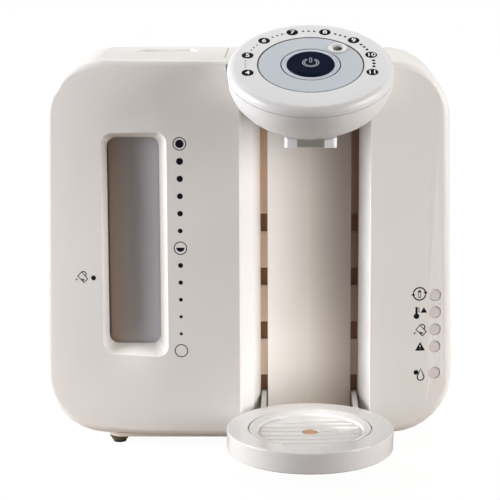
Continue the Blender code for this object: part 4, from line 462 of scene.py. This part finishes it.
# The tank's front wall is painted with light and shade: brown at the left, pale blue-grey at the right.
tank_front_painted_light = moulded_plastic("tank_smoke_painted_light", (0.90, 0.89, 0.90), 0.2, grain=0.01)
tank_light_tones = [(0.0, (0.38, 0.245, 0.155)), (0.5, (0.58, 0.59, 0.59)), (1.0, (0.90, 0.93, 1.0))]
tank_reach = (-0.103, -0.060)
shade_along(tank_front_painted_light, "X", tank_reach, tank_light_tones)
tank = shell_of("water_tank", tank_plastic, 0.0003)
tank.data.materials.append(tank_front_painted_light)
tank_front_y = 0.0150
facing_front = -0.9
for face in tank.data.polygons:
    if face.center.y < tank_front_y and face.normal.y < facing_front:
        face.material_index = 1
shell_of("tank_lid", body_plastic, 0.0005)
cradle_plastic = moulded_plastic("cradle_white", (0.70, 0.67, 0.63), 0.5)
shell_of("tank_cradle", cradle_plastic)
valve_plastic = moulded_plastic("valve_grey_blue", (0.16, 0.25, 0.40), 0.45)
shell_of("tank_valve", valve_plastic, 0.0003)
shell_of("dock_seal", pad_rubber)

# Filter. A small door in the top, on a steel pin, opens over the chamber. In it a white cartridge stands
# under a cap that twists out by its grip.
shell_of("filter_door", body_plastic, 0.0004)
shell_of("hinge_pin", screw_steel)
shell_of("filter_chamber", cradle_plastic, 0.0003)
shell_of("filter_cap", valve_plastic, 0.0005)
shell_of("filter_cartridge", cradle_plastic)

# Head shell. The bowl and its neck are one white moulding that comes out of the arch, a little flatter in
# front than the CAD solid. The cap is a ring with a rolled rim that snaps on top. Its flat face has painted
# shade, greyer than the rim.
head_plastic = moulded_plastic("head_white", (0.78, 0.775, 0.765), 0.33, grain=0.015)
# The cap's flat face is a greyer copy of the head white: painted shade.
cap_face_painted_shade = moulded_plastic("head_face_painted_shade", (0.71, 0.71, 0.705), 0.4, grain=0.02)
dial_joint = next(joint for joint in frame["joints"] if joint["name"] == "dial_turn")
dial_axis = Vector(dial_joint["axis"])
head_tilt = math.atan2(-dial_axis.y, dial_axis.z)
head_place = Matrix.Translation(dial_joint["pos_m"]) @ Matrix.Rotation(head_tilt, 4, "X")
into_head = head_place.inverted()
bowl = shell_of("head_bowl", head_plastic, 0.0004, soft=35.0)
bowl_top = -0.0070
bowl_flatter = 0.12
bowl_back_y, bowl_blend = -0.005, 0.025
for vertex in bowl.data.vertices:
    local = into_head @ vertex.co
    share = min(max((bowl_back_y - vertex.co.y) / bowl_blend, 0.0), 1.0)
    if local.z < bowl_top:
        local.z = bowl_top + (local.z - bowl_top) * (1 - bowl_flatter * share)
        vertex.co = head_place @ local


def turn(name, steps, segments=128, cap_start=False, cap_end=False):
    """Draws a circle out along a profile of (radius, height) steps, as a turned or moulded round piece."""
    same_spot = 0.000005
    clear_selection()
    first_radius, first_height = steps[0]
    fill = "NGON" if cap_start else "NOTHING"
    bpy.ops.mesh.primitive_circle_add(
        vertices=segments, radius=first_radius, fill_type=fill, location=(0, 0, 0)
    )
    piece = bpy.context.object
    piece.name = piece.data.name = name
    bpy.ops.object.mode_set(mode="EDIT")
    bpy.ops.mesh.select_all(action="SELECT")
    bpy.ops.transform.translate(value=(0, 0, first_height))
    for (radius, height), (next_radius, next_height) in zip(steps, steps[1:]):
        bpy.ops.mesh.extrude_region_move(TRANSFORM_OT_translate={"value": (0, 0, next_height - height)})
        share = next_radius / radius
        bpy.ops.transform.resize(value=(share, share, 1), center_override=(0, 0, next_height))
    if cap_end and not cap_start:
        bpy.ops.mesh.edge_face_add()
    bpy.ops.mesh.select_all(action="SELECT")
    bpy.ops.mesh.remove_doubles(threshold=same_spot)
    bpy.ops.mesh.normals_make_consistent(inside=False)
    bpy.ops.object.mode_set(mode="OBJECT")
    return piece


def finish_off(piece, place, finish, body, soft=35.0):
    """Moves a piece's mesh to its place, shades it, and gives it its finish and the body that it rides on."""
    clear_selection()
    bpy.context.view_layer.objects.active = piece
    piece.select_set(True)
    if piece.type != "MESH":
        bpy.ops.object.convert(target="MESH")
    piece.data.transform(place @ piece.matrix_basis)
    piece.matrix_basis = Matrix.Identity(4)
    bpy.ops.object.shade_smooth_by_angle(angle=math.radians(soft))
    piece.data.materials.clear()
    piece.data.materials.append(finish)
    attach(piece, body)
    return piece


rim_radius = 0.0574
face_radius = 0.0525
rim_round = 0.0050
rim_steps = 8
rim_wall = 0.0022
rim_bottom = -0.0070
dial_radius = 0.0360
dial_seam = 0.0004
seam_radius = dial_radius + dial_seam
seam_bottom = -0.0022
cap_steps = [
    (seam_radius, seam_bottom),
    (seam_radius, -0.0003),
    (seam_radius + dial_seam, 0.0),
    (face_radius, 0.0),
]
for step in range(1, rim_steps + 1):
    angle = math.pi / 2 * step / rim_steps
    reach = face_radius + (rim_radius - face_radius) * math.sin(angle)
    cap_steps.append((reach, -rim_round * (1 - math.cos(angle))))
cap_steps += [
    (rim_radius, rim_bottom + 0.0004),
    (rim_radius - 0.0003, rim_bottom),
    (rim_radius - rim_wall, rim_bottom),
    (rim_radius - rim_wall, rim_bottom / 2),
    (face_radius, seam_bottom),
    (seam_radius, seam_bottom),
]
cap = turn("head_cap_moulded", cap_steps)
finish_off(cap, head_place, head_plastic, "machine")
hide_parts("head_cap")
# The cap's wall in the narrow seam round the dial is painted dark brown: painted shade in the gap.
seam_painted_shade = moulded_plastic("seam_painted_shade", (0.16, 0.10, 0.075), 0.6)
face_slot, seam_slot = 1, 2
level_enough = 0.0001
cap.data.materials.append(cap_face_painted_shade)
cap.data.materials.append(seam_painted_shade)
for face in cap.data.polygons:
    local = into_head @ face.center
    reach = math.hypot(local.x, local.y)
    if reach < seam_radius + dial_seam:
        face.material_index = seam_slot
    elif local.z > -level_enough and reach < face_radius + level_enough:
        face.material_index = face_slot

# Scale. Eight dark round plates with white numbers stand round the dial, and three dots lie between each
# pair of them, which grow from the small volumes to the large ones. All are printed on the cap.
ink = moulded_plastic("printing_ink", (0.008, 0.008, 0.014), 0.5, grain=0.02)
ink.node_tree.nodes["Principled BSDF"].inputs["Specular IOR Level"].default_value = 0.15
number_white = moulded_plastic("number_white", (0.90, 0.90, 0.90), 0.5, grain=0.02)
scale_radius = 0.0440
scale_centre = (-0.0007, 0.0010)
plate_radius = 0.0041
number_height = 0.0044
first_number, last_number = 4, 11
number_step = math.radians(30.2)
scale_middle = math.radians(90.6)
dot_step = math.radians(5.1)
least_dot, dot_growth = 0.00058, 0.00010
printing = 0.00006


def angle_of(number):
    return scale_middle + ((first_number + last_number) / 2 - number) * number_step


def on_scale(angle):
    """The place on the cap's scale circle at an angle."""
    across = scale_centre[0] + scale_radius * math.cos(angle)
    up = scale_centre[1] + scale_radius * math.sin(angle)
    return Matrix.Translation((across, up, printing / 4))


def disc(name, radius, thickness=printing, segments=32):
    return turn(name, [(radius, 0.0), (radius, thickness)], segments, cap_start=True)


def written(name, words, height, thickness=printing):
    """Printed words whose capitals and figures have a height, drawn a little bolder than the plain font."""
    figure_share = 0.7
    bolder = 0.022
    clear_selection()
    bpy.ops.object.text_add(location=(0, 0, 0))
    piece = bpy.context.object
    piece.name = name
    piece.data.body = words
    piece.data.size = height / figure_share
    piece.data.align_x = "CENTER"
    piece.data.align_y = "CENTER"
    piece.data.extrude = thickness / 2
    piece.data.offset = height * bolder
    return piece


above_plate = Matrix.Translation((0, 0, printing * 1.2))
for number in range(first_number, last_number + 1):
    spot = on_scale(angle_of(number))
    plate = disc("number_plate_" + str(number), plate_radius)
    finish_off(plate, head_place @ spot, ink, "machine")
    words = written("number_" + str(number), str(number), number_height)
    finish_off(words, head_place @ spot @ above_plate, number_white, "machine")
    if number < last_number:
        for dot_index in (1, 2, 3):
            spot = on_scale(angle_of(number + 0.5) + (dot_index - 2) * dot_step)
            radius = least_dot + dot_growth * (number - first_number)
            dot = disc("scale_dot_" + str(number) + "_" + str(dot_index), radius, segments=16)
            finish_off(dot, head_place @ spot, ink, "machine")

# Dial. A pale blue-grey moulded ring that turns round the button. A raised white collar is pressed into its
# finger dimple and holds a small smoked lens, through which a light points at the volume. Both turn with it.
# The lens has painted light and shade across it, pale at the left and dark at the right.
dial_plastic = moulded_plastic("dial_pale_blue_grey", (0.51, 0.545, 0.585), 0.36, grain=0.015)
dial = shell_of("volume_dial", dial_plastic, 0.0002, soft=35.0)
dimple_radius = 0.0283
dimple_angle = math.radians(48.3)
dimple_spot = (dimple_radius * math.cos(dimple_angle), dimple_radius * math.sin(dimple_angle), 0.0)
dimple_place = head_place @ Matrix.Translation(dimple_spot)
dimple_steps = [
    (0.0062, -0.0002),
    (0.0066, 0.0004),
    (0.0064, 0.0008),
    (0.0060, 0.0010),
    (0.0052, 0.0009),
    (0.0042, 0.0006),
    (0.0034, 0.0001),
    (0.0030, -0.0006),
    (0.0030, -0.0012),
    (0.0044, -0.0012),
    (0.0062, -0.0002),
]
dimple_rim = turn("dimple_rim", dimple_steps, 64)
dial_body = frame["nodes"]["volume_dial"]["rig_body"]
finish_off(dimple_rim, dimple_place, head_plastic, dial_body, soft=60.0)
# Painted light and shade on the lens: pale at the left, dark at the right.
pointer_painted_light = moulded_plastic("pointer_smoke_painted_light", (0.22, 0.22, 0.18), 0.3, grain=0.01)
pointer_reach = (0.0604, 0.0666)
pointer_light_tones = [(0.0, (1.0, 1.0, 1.0)), (1.0, (0.04, 0.04, 0.05))]
shade_along(pointer_painted_light, "X", pointer_reach, pointer_light_tones)
pointer_steps = [
    (0.0026, -0.0024),
    (0.0029, -0.0010),
    (0.0029, -0.0002),
    (0.0024, 0.0003),
    (0.0016, 0.0006),
    (0.0008, 0.0007),
]
pointer = turn("pointer_lens", pointer_steps, 48, cap_end=True)
finish_off(pointer, dimple_place, pointer_painted_light, dial_body, soft=60.0)

# Button and light ring. A pale ring with a fine groove and a dark outer edge frames the smooth navy start
# button, which moves in along the dial's axis. Its power mark is printed: an open ring and a bar.
ring_plastic = moulded_plastic("ring_pale_lavender", (0.66, 0.68, 0.76), 0.25, grain=0.01)
ring_steps = [
    (0.0165, -0.0024),
    (0.0165, -0.0005),
    (0.0167, -0.0003),
    (0.0184, -0.0003),
    (0.0185, -0.0006),
    (0.0187, -0.0006),
    (0.0188, -0.0003),
    (0.0199, -0.0003),
    (0.0203, -0.0005),
    (0.0203, -0.0024),
    (0.0165, -0.0024),
]
ring = turn("light_ring_moulded", ring_steps, 96)
finish_off(ring, head_place, ring_plastic, "machine")
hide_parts("light_ring")
edge_navy = moulded_plastic("ring_edge_navy", (0.03, 0.035, 0.06), 0.5)
dark_edge_radius = 0.0200
dark_edge_bottom = -0.0020
ring.data.materials.append(edge_navy)
for face in ring.data.polygons:
    local = into_head @ face.center
    if math.hypot(local.x, local.y) > dark_edge_radius and local.z > dark_edge_bottom:
        face.material_index = 1
button_plastic = moulded_plastic("button_navy_black", (0.007, 0.011, 0.025), 0.3, grain=0.01)
button_plastic.node_tree.nodes["Principled BSDF"].inputs["Specular IOR Level"].default_value = 0.03
button_steps = [
    (0.0161, -0.0022),
    (0.0161, 0.0005),
    (0.0159, 0.0008),
    (0.0154, 0.0010),
    (0.0135, 0.0011),
    (0.0100, 0.0012),
    (0.0050, 0.0013),
]
button = turn("start_button_cap", button_steps, 96, cap_start=True)
finish_off(button, head_place, button_plastic, "button")
shell_of("start_button", button_plastic)


def stroke(name, lines, width, thickness=printing):
    """Printed lines: each is a list of (x, y) points and whether it closes, drawn with a flat round pen."""
    curve = bpy.data.curves.new(name, "CURVE")
    curve.dimensions = "3D"
    curve.bevel_depth = width / 2
    curve.bevel_resolution = 2
    curve.use_fill_caps = True
    for points, closed in lines:
        spline = curve.splines.new("POLY")
        spline.points.add(len(points) - 1)
        for target, (x, y) in zip(spline.points, points):
            target.co = (x, y, 0, 1)
        spline.use_cyclic_u = closed
    piece = bpy.data.objects.new(name, curve)
    bpy.context.scene.collection.objects.link(piece)
    clear_selection()
    bpy.context.view_layer.objects.active = piece
    piece.select_set(True)
    bpy.ops.object.convert(target="MESH")
    piece = bpy.context.object
    piece.data.transform(Matrix.Diagonal((1, 1, thickness / width, 1)))
    return piece


def arc(radius, start, end, count=40, centre=(0.0, 0.0)):
    """Points on a circle from one angle to another, in degrees."""
    angles = [math.radians(start + (end - start) * step / count) for step in range(count + 1)]
    return [(centre[0] + radius * math.cos(angle), centre[1] + radius * math.sin(angle)) for angle in angles]


power_grey = moulded_plastic("power_mark_grey", (0.42, 0.44, 0.48), 0.5, grain=0.02)
power_opening = (125, 415)
power_band = [*arc(0.0055, *power_opening), *reversed(arc(0.0042, *power_opening))]
power_bar = [(-0.0007, 0.0004), (0.0007, 0.0004), (0.0007, 0.0060), (-0.0007, 0.0060)]
power_pen, power_thickness, power_rise = 0.0006, 0.0003, 0.00128
power_mark = stroke("power_mark", [(power_band, True), (power_bar, True)], power_pen, power_thickness)
power_place = head_place @ Matrix.Translation((0, 0, power_rise))
finish_off(power_mark, power_place, power_grey, "button")

# Nozzle. A short moulded shroud under the bowl, with two rounded ends and a recess between them that is
# darkened with painted shade, covers the hot and the cold outlet, which are steel pipes. All three sit a little
# higher than the solids.
bay_middle_x = 0.0449
nozzle_rise = 0.0018
shroud_plastic = moulded_plastic("shroud_white", (0.93, 0.93, 0.94), 0.33, grain=0.015)
shroud = shell_of("nozzle_shroud", shroud_plastic, 0.0005)
# The recess is painted grey: painted shade under the bowl.
recess_painted_shade = moulded_plastic("shroud_recess_painted_shade", (0.42, 0.42, 0.38), 0.45)
recess_half = 0.0094
facing_forward = -0.3
shroud.data.materials.append(recess_painted_shade)
for face in shroud.data.polygons:
    if abs(face.center.x - bay_middle_x) < recess_half and face.normal.y < facing_forward:
        face.material_index = 1
drawn_steel = bare_steel("drawn_stainless_steel", (0.70, 0.71, 0.72))
hot_pipe = shell_of("hot_nozzle", drawn_steel)
cold_pipe = shell_of("cold_nozzle", drawn_steel)
for piece in (shroud, hot_pipe, cold_pipe):
    piece.data.transform(Matrix.Translation((0, 0, nozzle_rise)))

# Stand and drip insert. The stand is a round white tray, smooth and glossy, with two arms that reach into the
# grooves. The insert is a ribbed dish that lifts out. Through its finger hole a boss of the stand shows, tan
# with painted shade.
stand_plastic = moulded_plastic("stand_gloss_white", (0.79, 0.775, 0.76), 0.14, grain=0.0, vary=0.01)
shell_of("bottle_stand", stand_plastic, 0.0005, soft=35.0, steps=3)
shell_of("drip_insert", stand_plastic, 0.0003, soft=35.0)
# The boss's tan colour is painted shade in the finger hole.
boss_painted_shade = moulded_plastic("boss_painted_shade", (0.60, 0.34, 0.20), 0.5)
boss_radius, boss_height, boss_edge = 0.0059, 0.0094, 0.0002
boss_steps = [
    (boss_radius, -boss_height),
    (boss_radius, -boss_edge),
    (boss_radius - boss_edge, 0.0),
    (boss_radius / 2, 0.0),
]
boss = turn("centre_boss", boss_steps, 48, cap_end=True)
tray_middle_y, boss_top_z = -0.0470, 0.0253
boss_place = Matrix.Translation((bay_middle_x, tray_middle_y, boss_top_z))
stand_body = frame["nodes"]["bottle_stand"]["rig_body"]
finish_off(boss, boss_place, boss_painted_shade, stand_body)


# Marks by the window. Printed on the fascia in dark ink: a ring with a full dot, five dots, a half-full ring,
# five smaller dots and an empty ring. At the left are a tilted jug and a dot for the least amount.
def on_face(x, z):
    """The place on the fascia's front at x and z, its own Z pointing out of the surface."""
    _, spot, normal, _ = fascia.ray_cast((x, body_front - 1.0, z), (0, 1, 0))
    across = Vector((0, 0, 1)).cross(normal).normalized()
    up = normal.cross(across)
    turn_to = Matrix((across, up, normal)).transposed().to_4x4()
    return Matrix.Translation(spot) @ turn_to


def filled(name, outline, thickness=printing):
    """A printed area inside an outline of (x, y) points."""
    curve = bpy.data.curves.new(name, "CURVE")
    curve.dimensions = "2D"
    curve.fill_mode = "BOTH"
    curve.extrude = thickness / 2
    spline = curve.splines.new("POLY")
    spline.points.add(len(outline) - 1)
    for target, (x, y) in zip(spline.points, outline):
        target.co = (x, y, 0, 1)
    spline.use_cyclic_u = True
    piece = bpy.data.objects.new(name, curve)
    bpy.context.scene.collection.objects.link(piece)
    return piece


def print_on_face(piece, x, z):
    finish_off(piece, on_face(x, z), ink, "machine")


marks_x = -0.0482
marks_top = 0.2250
marks_step = 0.01265
fine_pen, bold_pen = 0.0007, 0.0009
full_dot = 0.0030
half_dot_rise = 0.0004
mark_radius = 0.00455
mark_points = 48
ring_line = [(arc(mark_radius, 0, 360 - 360 / mark_points, mark_points - 1), True)]
dot_sizes = [None, 0.0025, 0.0023, 0.0021, 0.0020, 0.0017, None, 0.0018, 0.0016, 0.0014, 0.0012, 0.0011, None]
for index, size in enumerate(dot_sizes):
    z = marks_top - index * marks_step
    if size:
        print_on_face(disc("level_dot_" + str(index), size), marks_x, z)
    else:
        print_on_face(stroke("level_ring_" + str(index), ring_line, fine_pen), marks_x, z)
print_on_face(disc("level_full_dot", full_dot), marks_x, marks_top)
half_disc = filled("level_half_dot", [(x, y + half_dot_rise) for x, y in arc(full_dot, 180, 360, 24)])
print_on_face(half_disc, marks_x, marks_top - 6 * marks_step)


def jug(name, x, z, size):
    """A tilted jug in outline, with its handle, what is left in it, and a drop at its lip."""
    drop_radius, drop_left, drop_down = 0.11 * size, 0.78 * size, 0.42 * size

    def sized(points):
        return [(across * size, up * size) for across, up in points]

    outline = sized([(-0.62, 0.02), (-0.12, 0.60), (0.70, -0.28), (0.22, -0.82)])
    handle = sized([(-0.12, 0.60), (0.28, 0.66), (0.52, 0.42), (0.42, 0.02)])
    print_on_face(stroke(name + "_outline", [(outline, True), (handle, False)], bold_pen), x, z)
    level = sized([(-0.22, -0.22), (0.36, -0.42), (0.10, -0.62)])
    print_on_face(filled(name + "_level", level), x, z)
    print_on_face(disc(name + "_drop", drop_radius), x - drop_left, z - drop_down)


empty_x, empty_z, empty_size = -0.1200, 0.1266, 0.0056
least_x, least_z, least_radius = -0.1118, 0.1258, 0.0018
jug("empty_jug", empty_x, empty_z, empty_size)
print_on_face(disc("least_amount_dot", least_radius), least_x, least_z)

# Status lights. Five round lenses sit a little below the face in holes, unlit and greyish pink, each with its
# printed sign at the left: change the filter, too hot, fill up, look after it, descale.
lens_plastic = moulded_plastic("lens_unlit", (0.82, 0.745, 0.73), 0.3, grain=0.02)
sign_places = [(0.1248, 0.0014), (0.1227, 0.0004), (0.1260, 0.0002), (0.1256, 0.0002), (0.1262, -0.0010)]
sign_spots = []
for index, (sign_x, above_lens) in enumerate(sign_places, start=1):
    lens = "indicator_lens_" + str(index)
    shell_of(lens, lens_plastic, 0.0003)
    low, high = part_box(lens)
    sign_spots.append((sign_x, (low.z + high.z) / 2 + above_lens))
filter_spot, heat_spot, fill_spot, care_spot, descale_spot = sign_spots

# Filter sign. Two bent arrows run round a small cartridge with a solid head. It is printed in dark ink, as
# the other signs are, a little above the level of its lens.
arrow_radius = 0.0046
arrows = [(arc(arrow_radius, 14, 166, 24), False), (arc(arrow_radius, 194, 346, 24), False)]
print_on_face(stroke("filter_sign_arrows", arrows, 0.0010), *filter_spot)
for side in (-1, 1):
    middle_x, base_y = side * arrow_radius, side * 0.0012
    tip = [(middle_x - 0.0013, base_y), (middle_x + 0.0013, base_y), (middle_x, -base_y)]
    print_on_face(filled("filter_sign_tip_" + str(side + 2), tip), *filter_spot)
cartridge = [([(-0.0009, -0.0028), (0.0009, -0.0028), (0.0009, 0.0012), (-0.0009, 0.0012)], True)]
print_on_face(stroke("filter_sign_cartridge", cartridge, fine_pen), *filter_spot)
cartridge_head = [(-0.0010, 0.0014), (0.0010, 0.0014), (0.0010, 0.0026), (-0.0010, 0.0026)]
print_on_face(filled("filter_sign_head", cartridge_head), *filter_spot)

# Heat sign. A thermometer with a round bulb and three degree lines, printed solid, and a small triangle at
# its right.
heat_x, heat_z = heat_spot
bulb_radius, bulb_down = 0.0021, 0.0028
triangle_right, triangle_up = 0.0054, 0.0014
stem = [([(0.0, -0.0020), (0.0, 0.0040)], False)]
print_on_face(stroke("heat_sign_stem", stem, 0.0017), heat_x, heat_z)
print_on_face(disc("heat_sign_bulb", bulb_radius), heat_x, heat_z - bulb_down)
degrees = [([(0.0013, height), (0.0024, height)], False) for height in (0.0004, 0.0018, 0.0032)]
print_on_face(stroke("heat_sign_degrees", degrees, 0.0008), heat_x, heat_z)
small_triangle = [(-0.0024, -0.0018), (0.0024, -0.0018), (0.0, 0.0024)]
print_on_face(filled("heat_sign_triangle", small_triangle), heat_x + triangle_right, heat_z + triangle_up)

# Fill, care and descale signs. A tilted jug as by the window, a solid triangle with a white bar in it, and
# the outline of a drop with a dot at its left.
fill_size = 0.0058
jug("fill_sign", *fill_spot, fill_size)
triangle = [(-0.0037, -0.0028), (0.0037, -0.0028), (0.0, 0.0038)]
print_on_face(filled("care_sign", triangle), *care_spot)
bar = [([(0.0, -0.0002), (0.0, 0.0014)], False), ([(0.0, -0.0016), (0.0, -0.0014)], False)]
care_bar = stroke("care_sign_bar", bar, fine_pen, 0.0002)
finish_off(care_bar, on_face(*care_spot), body_plastic, "machine")
drop = [(0.0, 0.0044), *arc(0.0025, 20, -200, 24, (0.0, -0.0018))]
print_on_face(stroke("descale_sign_drop", [(drop, True)], bold_pen), *descale_spot)
descale_x, descale_z = descale_spot
dot_radius, dot_left, dot_up = 0.0018, 0.0034, 0.0018
print_on_face(disc("descale_sign_dot", dot_radius), descale_x - dot_left, descale_z + dot_up)

# Inside. The works are plain: a boiler and a bracket in stainless steel, a dark moulded pump, valve and
# switch, green boards and milky silicone hoses. Only the dark mains inlet shows, at the back.
for node in ("boiler", "head_bracket"):
    shell_of(node, drawn_steel, 0.0003)
dark_plastic = moulded_plastic("works_dark_grey", (0.03, 0.03, 0.033), 0.5, grain=0.05)
for node in ("boiler_pedestal", "water_pump", "solenoid_valve", "dial_carrier", "button_switch", "mains_inlet"):
    shell_of(node, dark_plastic, 0.0003)
shell_of("boiler_thermostat", cradle_plastic, 0.0003)
board_green = moulded_plastic("board_green", (0.02, 0.12, 0.05), 0.4, grain=0.03, grain_scale=900.0, vary=0.15)
for node in ("power_board", "indicator_board", "control_board"):
    shell_of(node, board_green)
silicone = moulded_plastic("hose_milky_silicone", (0.72, 0.72, 0.70), 0.45, grain=0.03)
for node in ("feed_hose", "filter_hose", "valve_hose", "boiler_hose", "hot_hose", "cold_hose"):
    shell_of(node, silicone, soft=60.0)
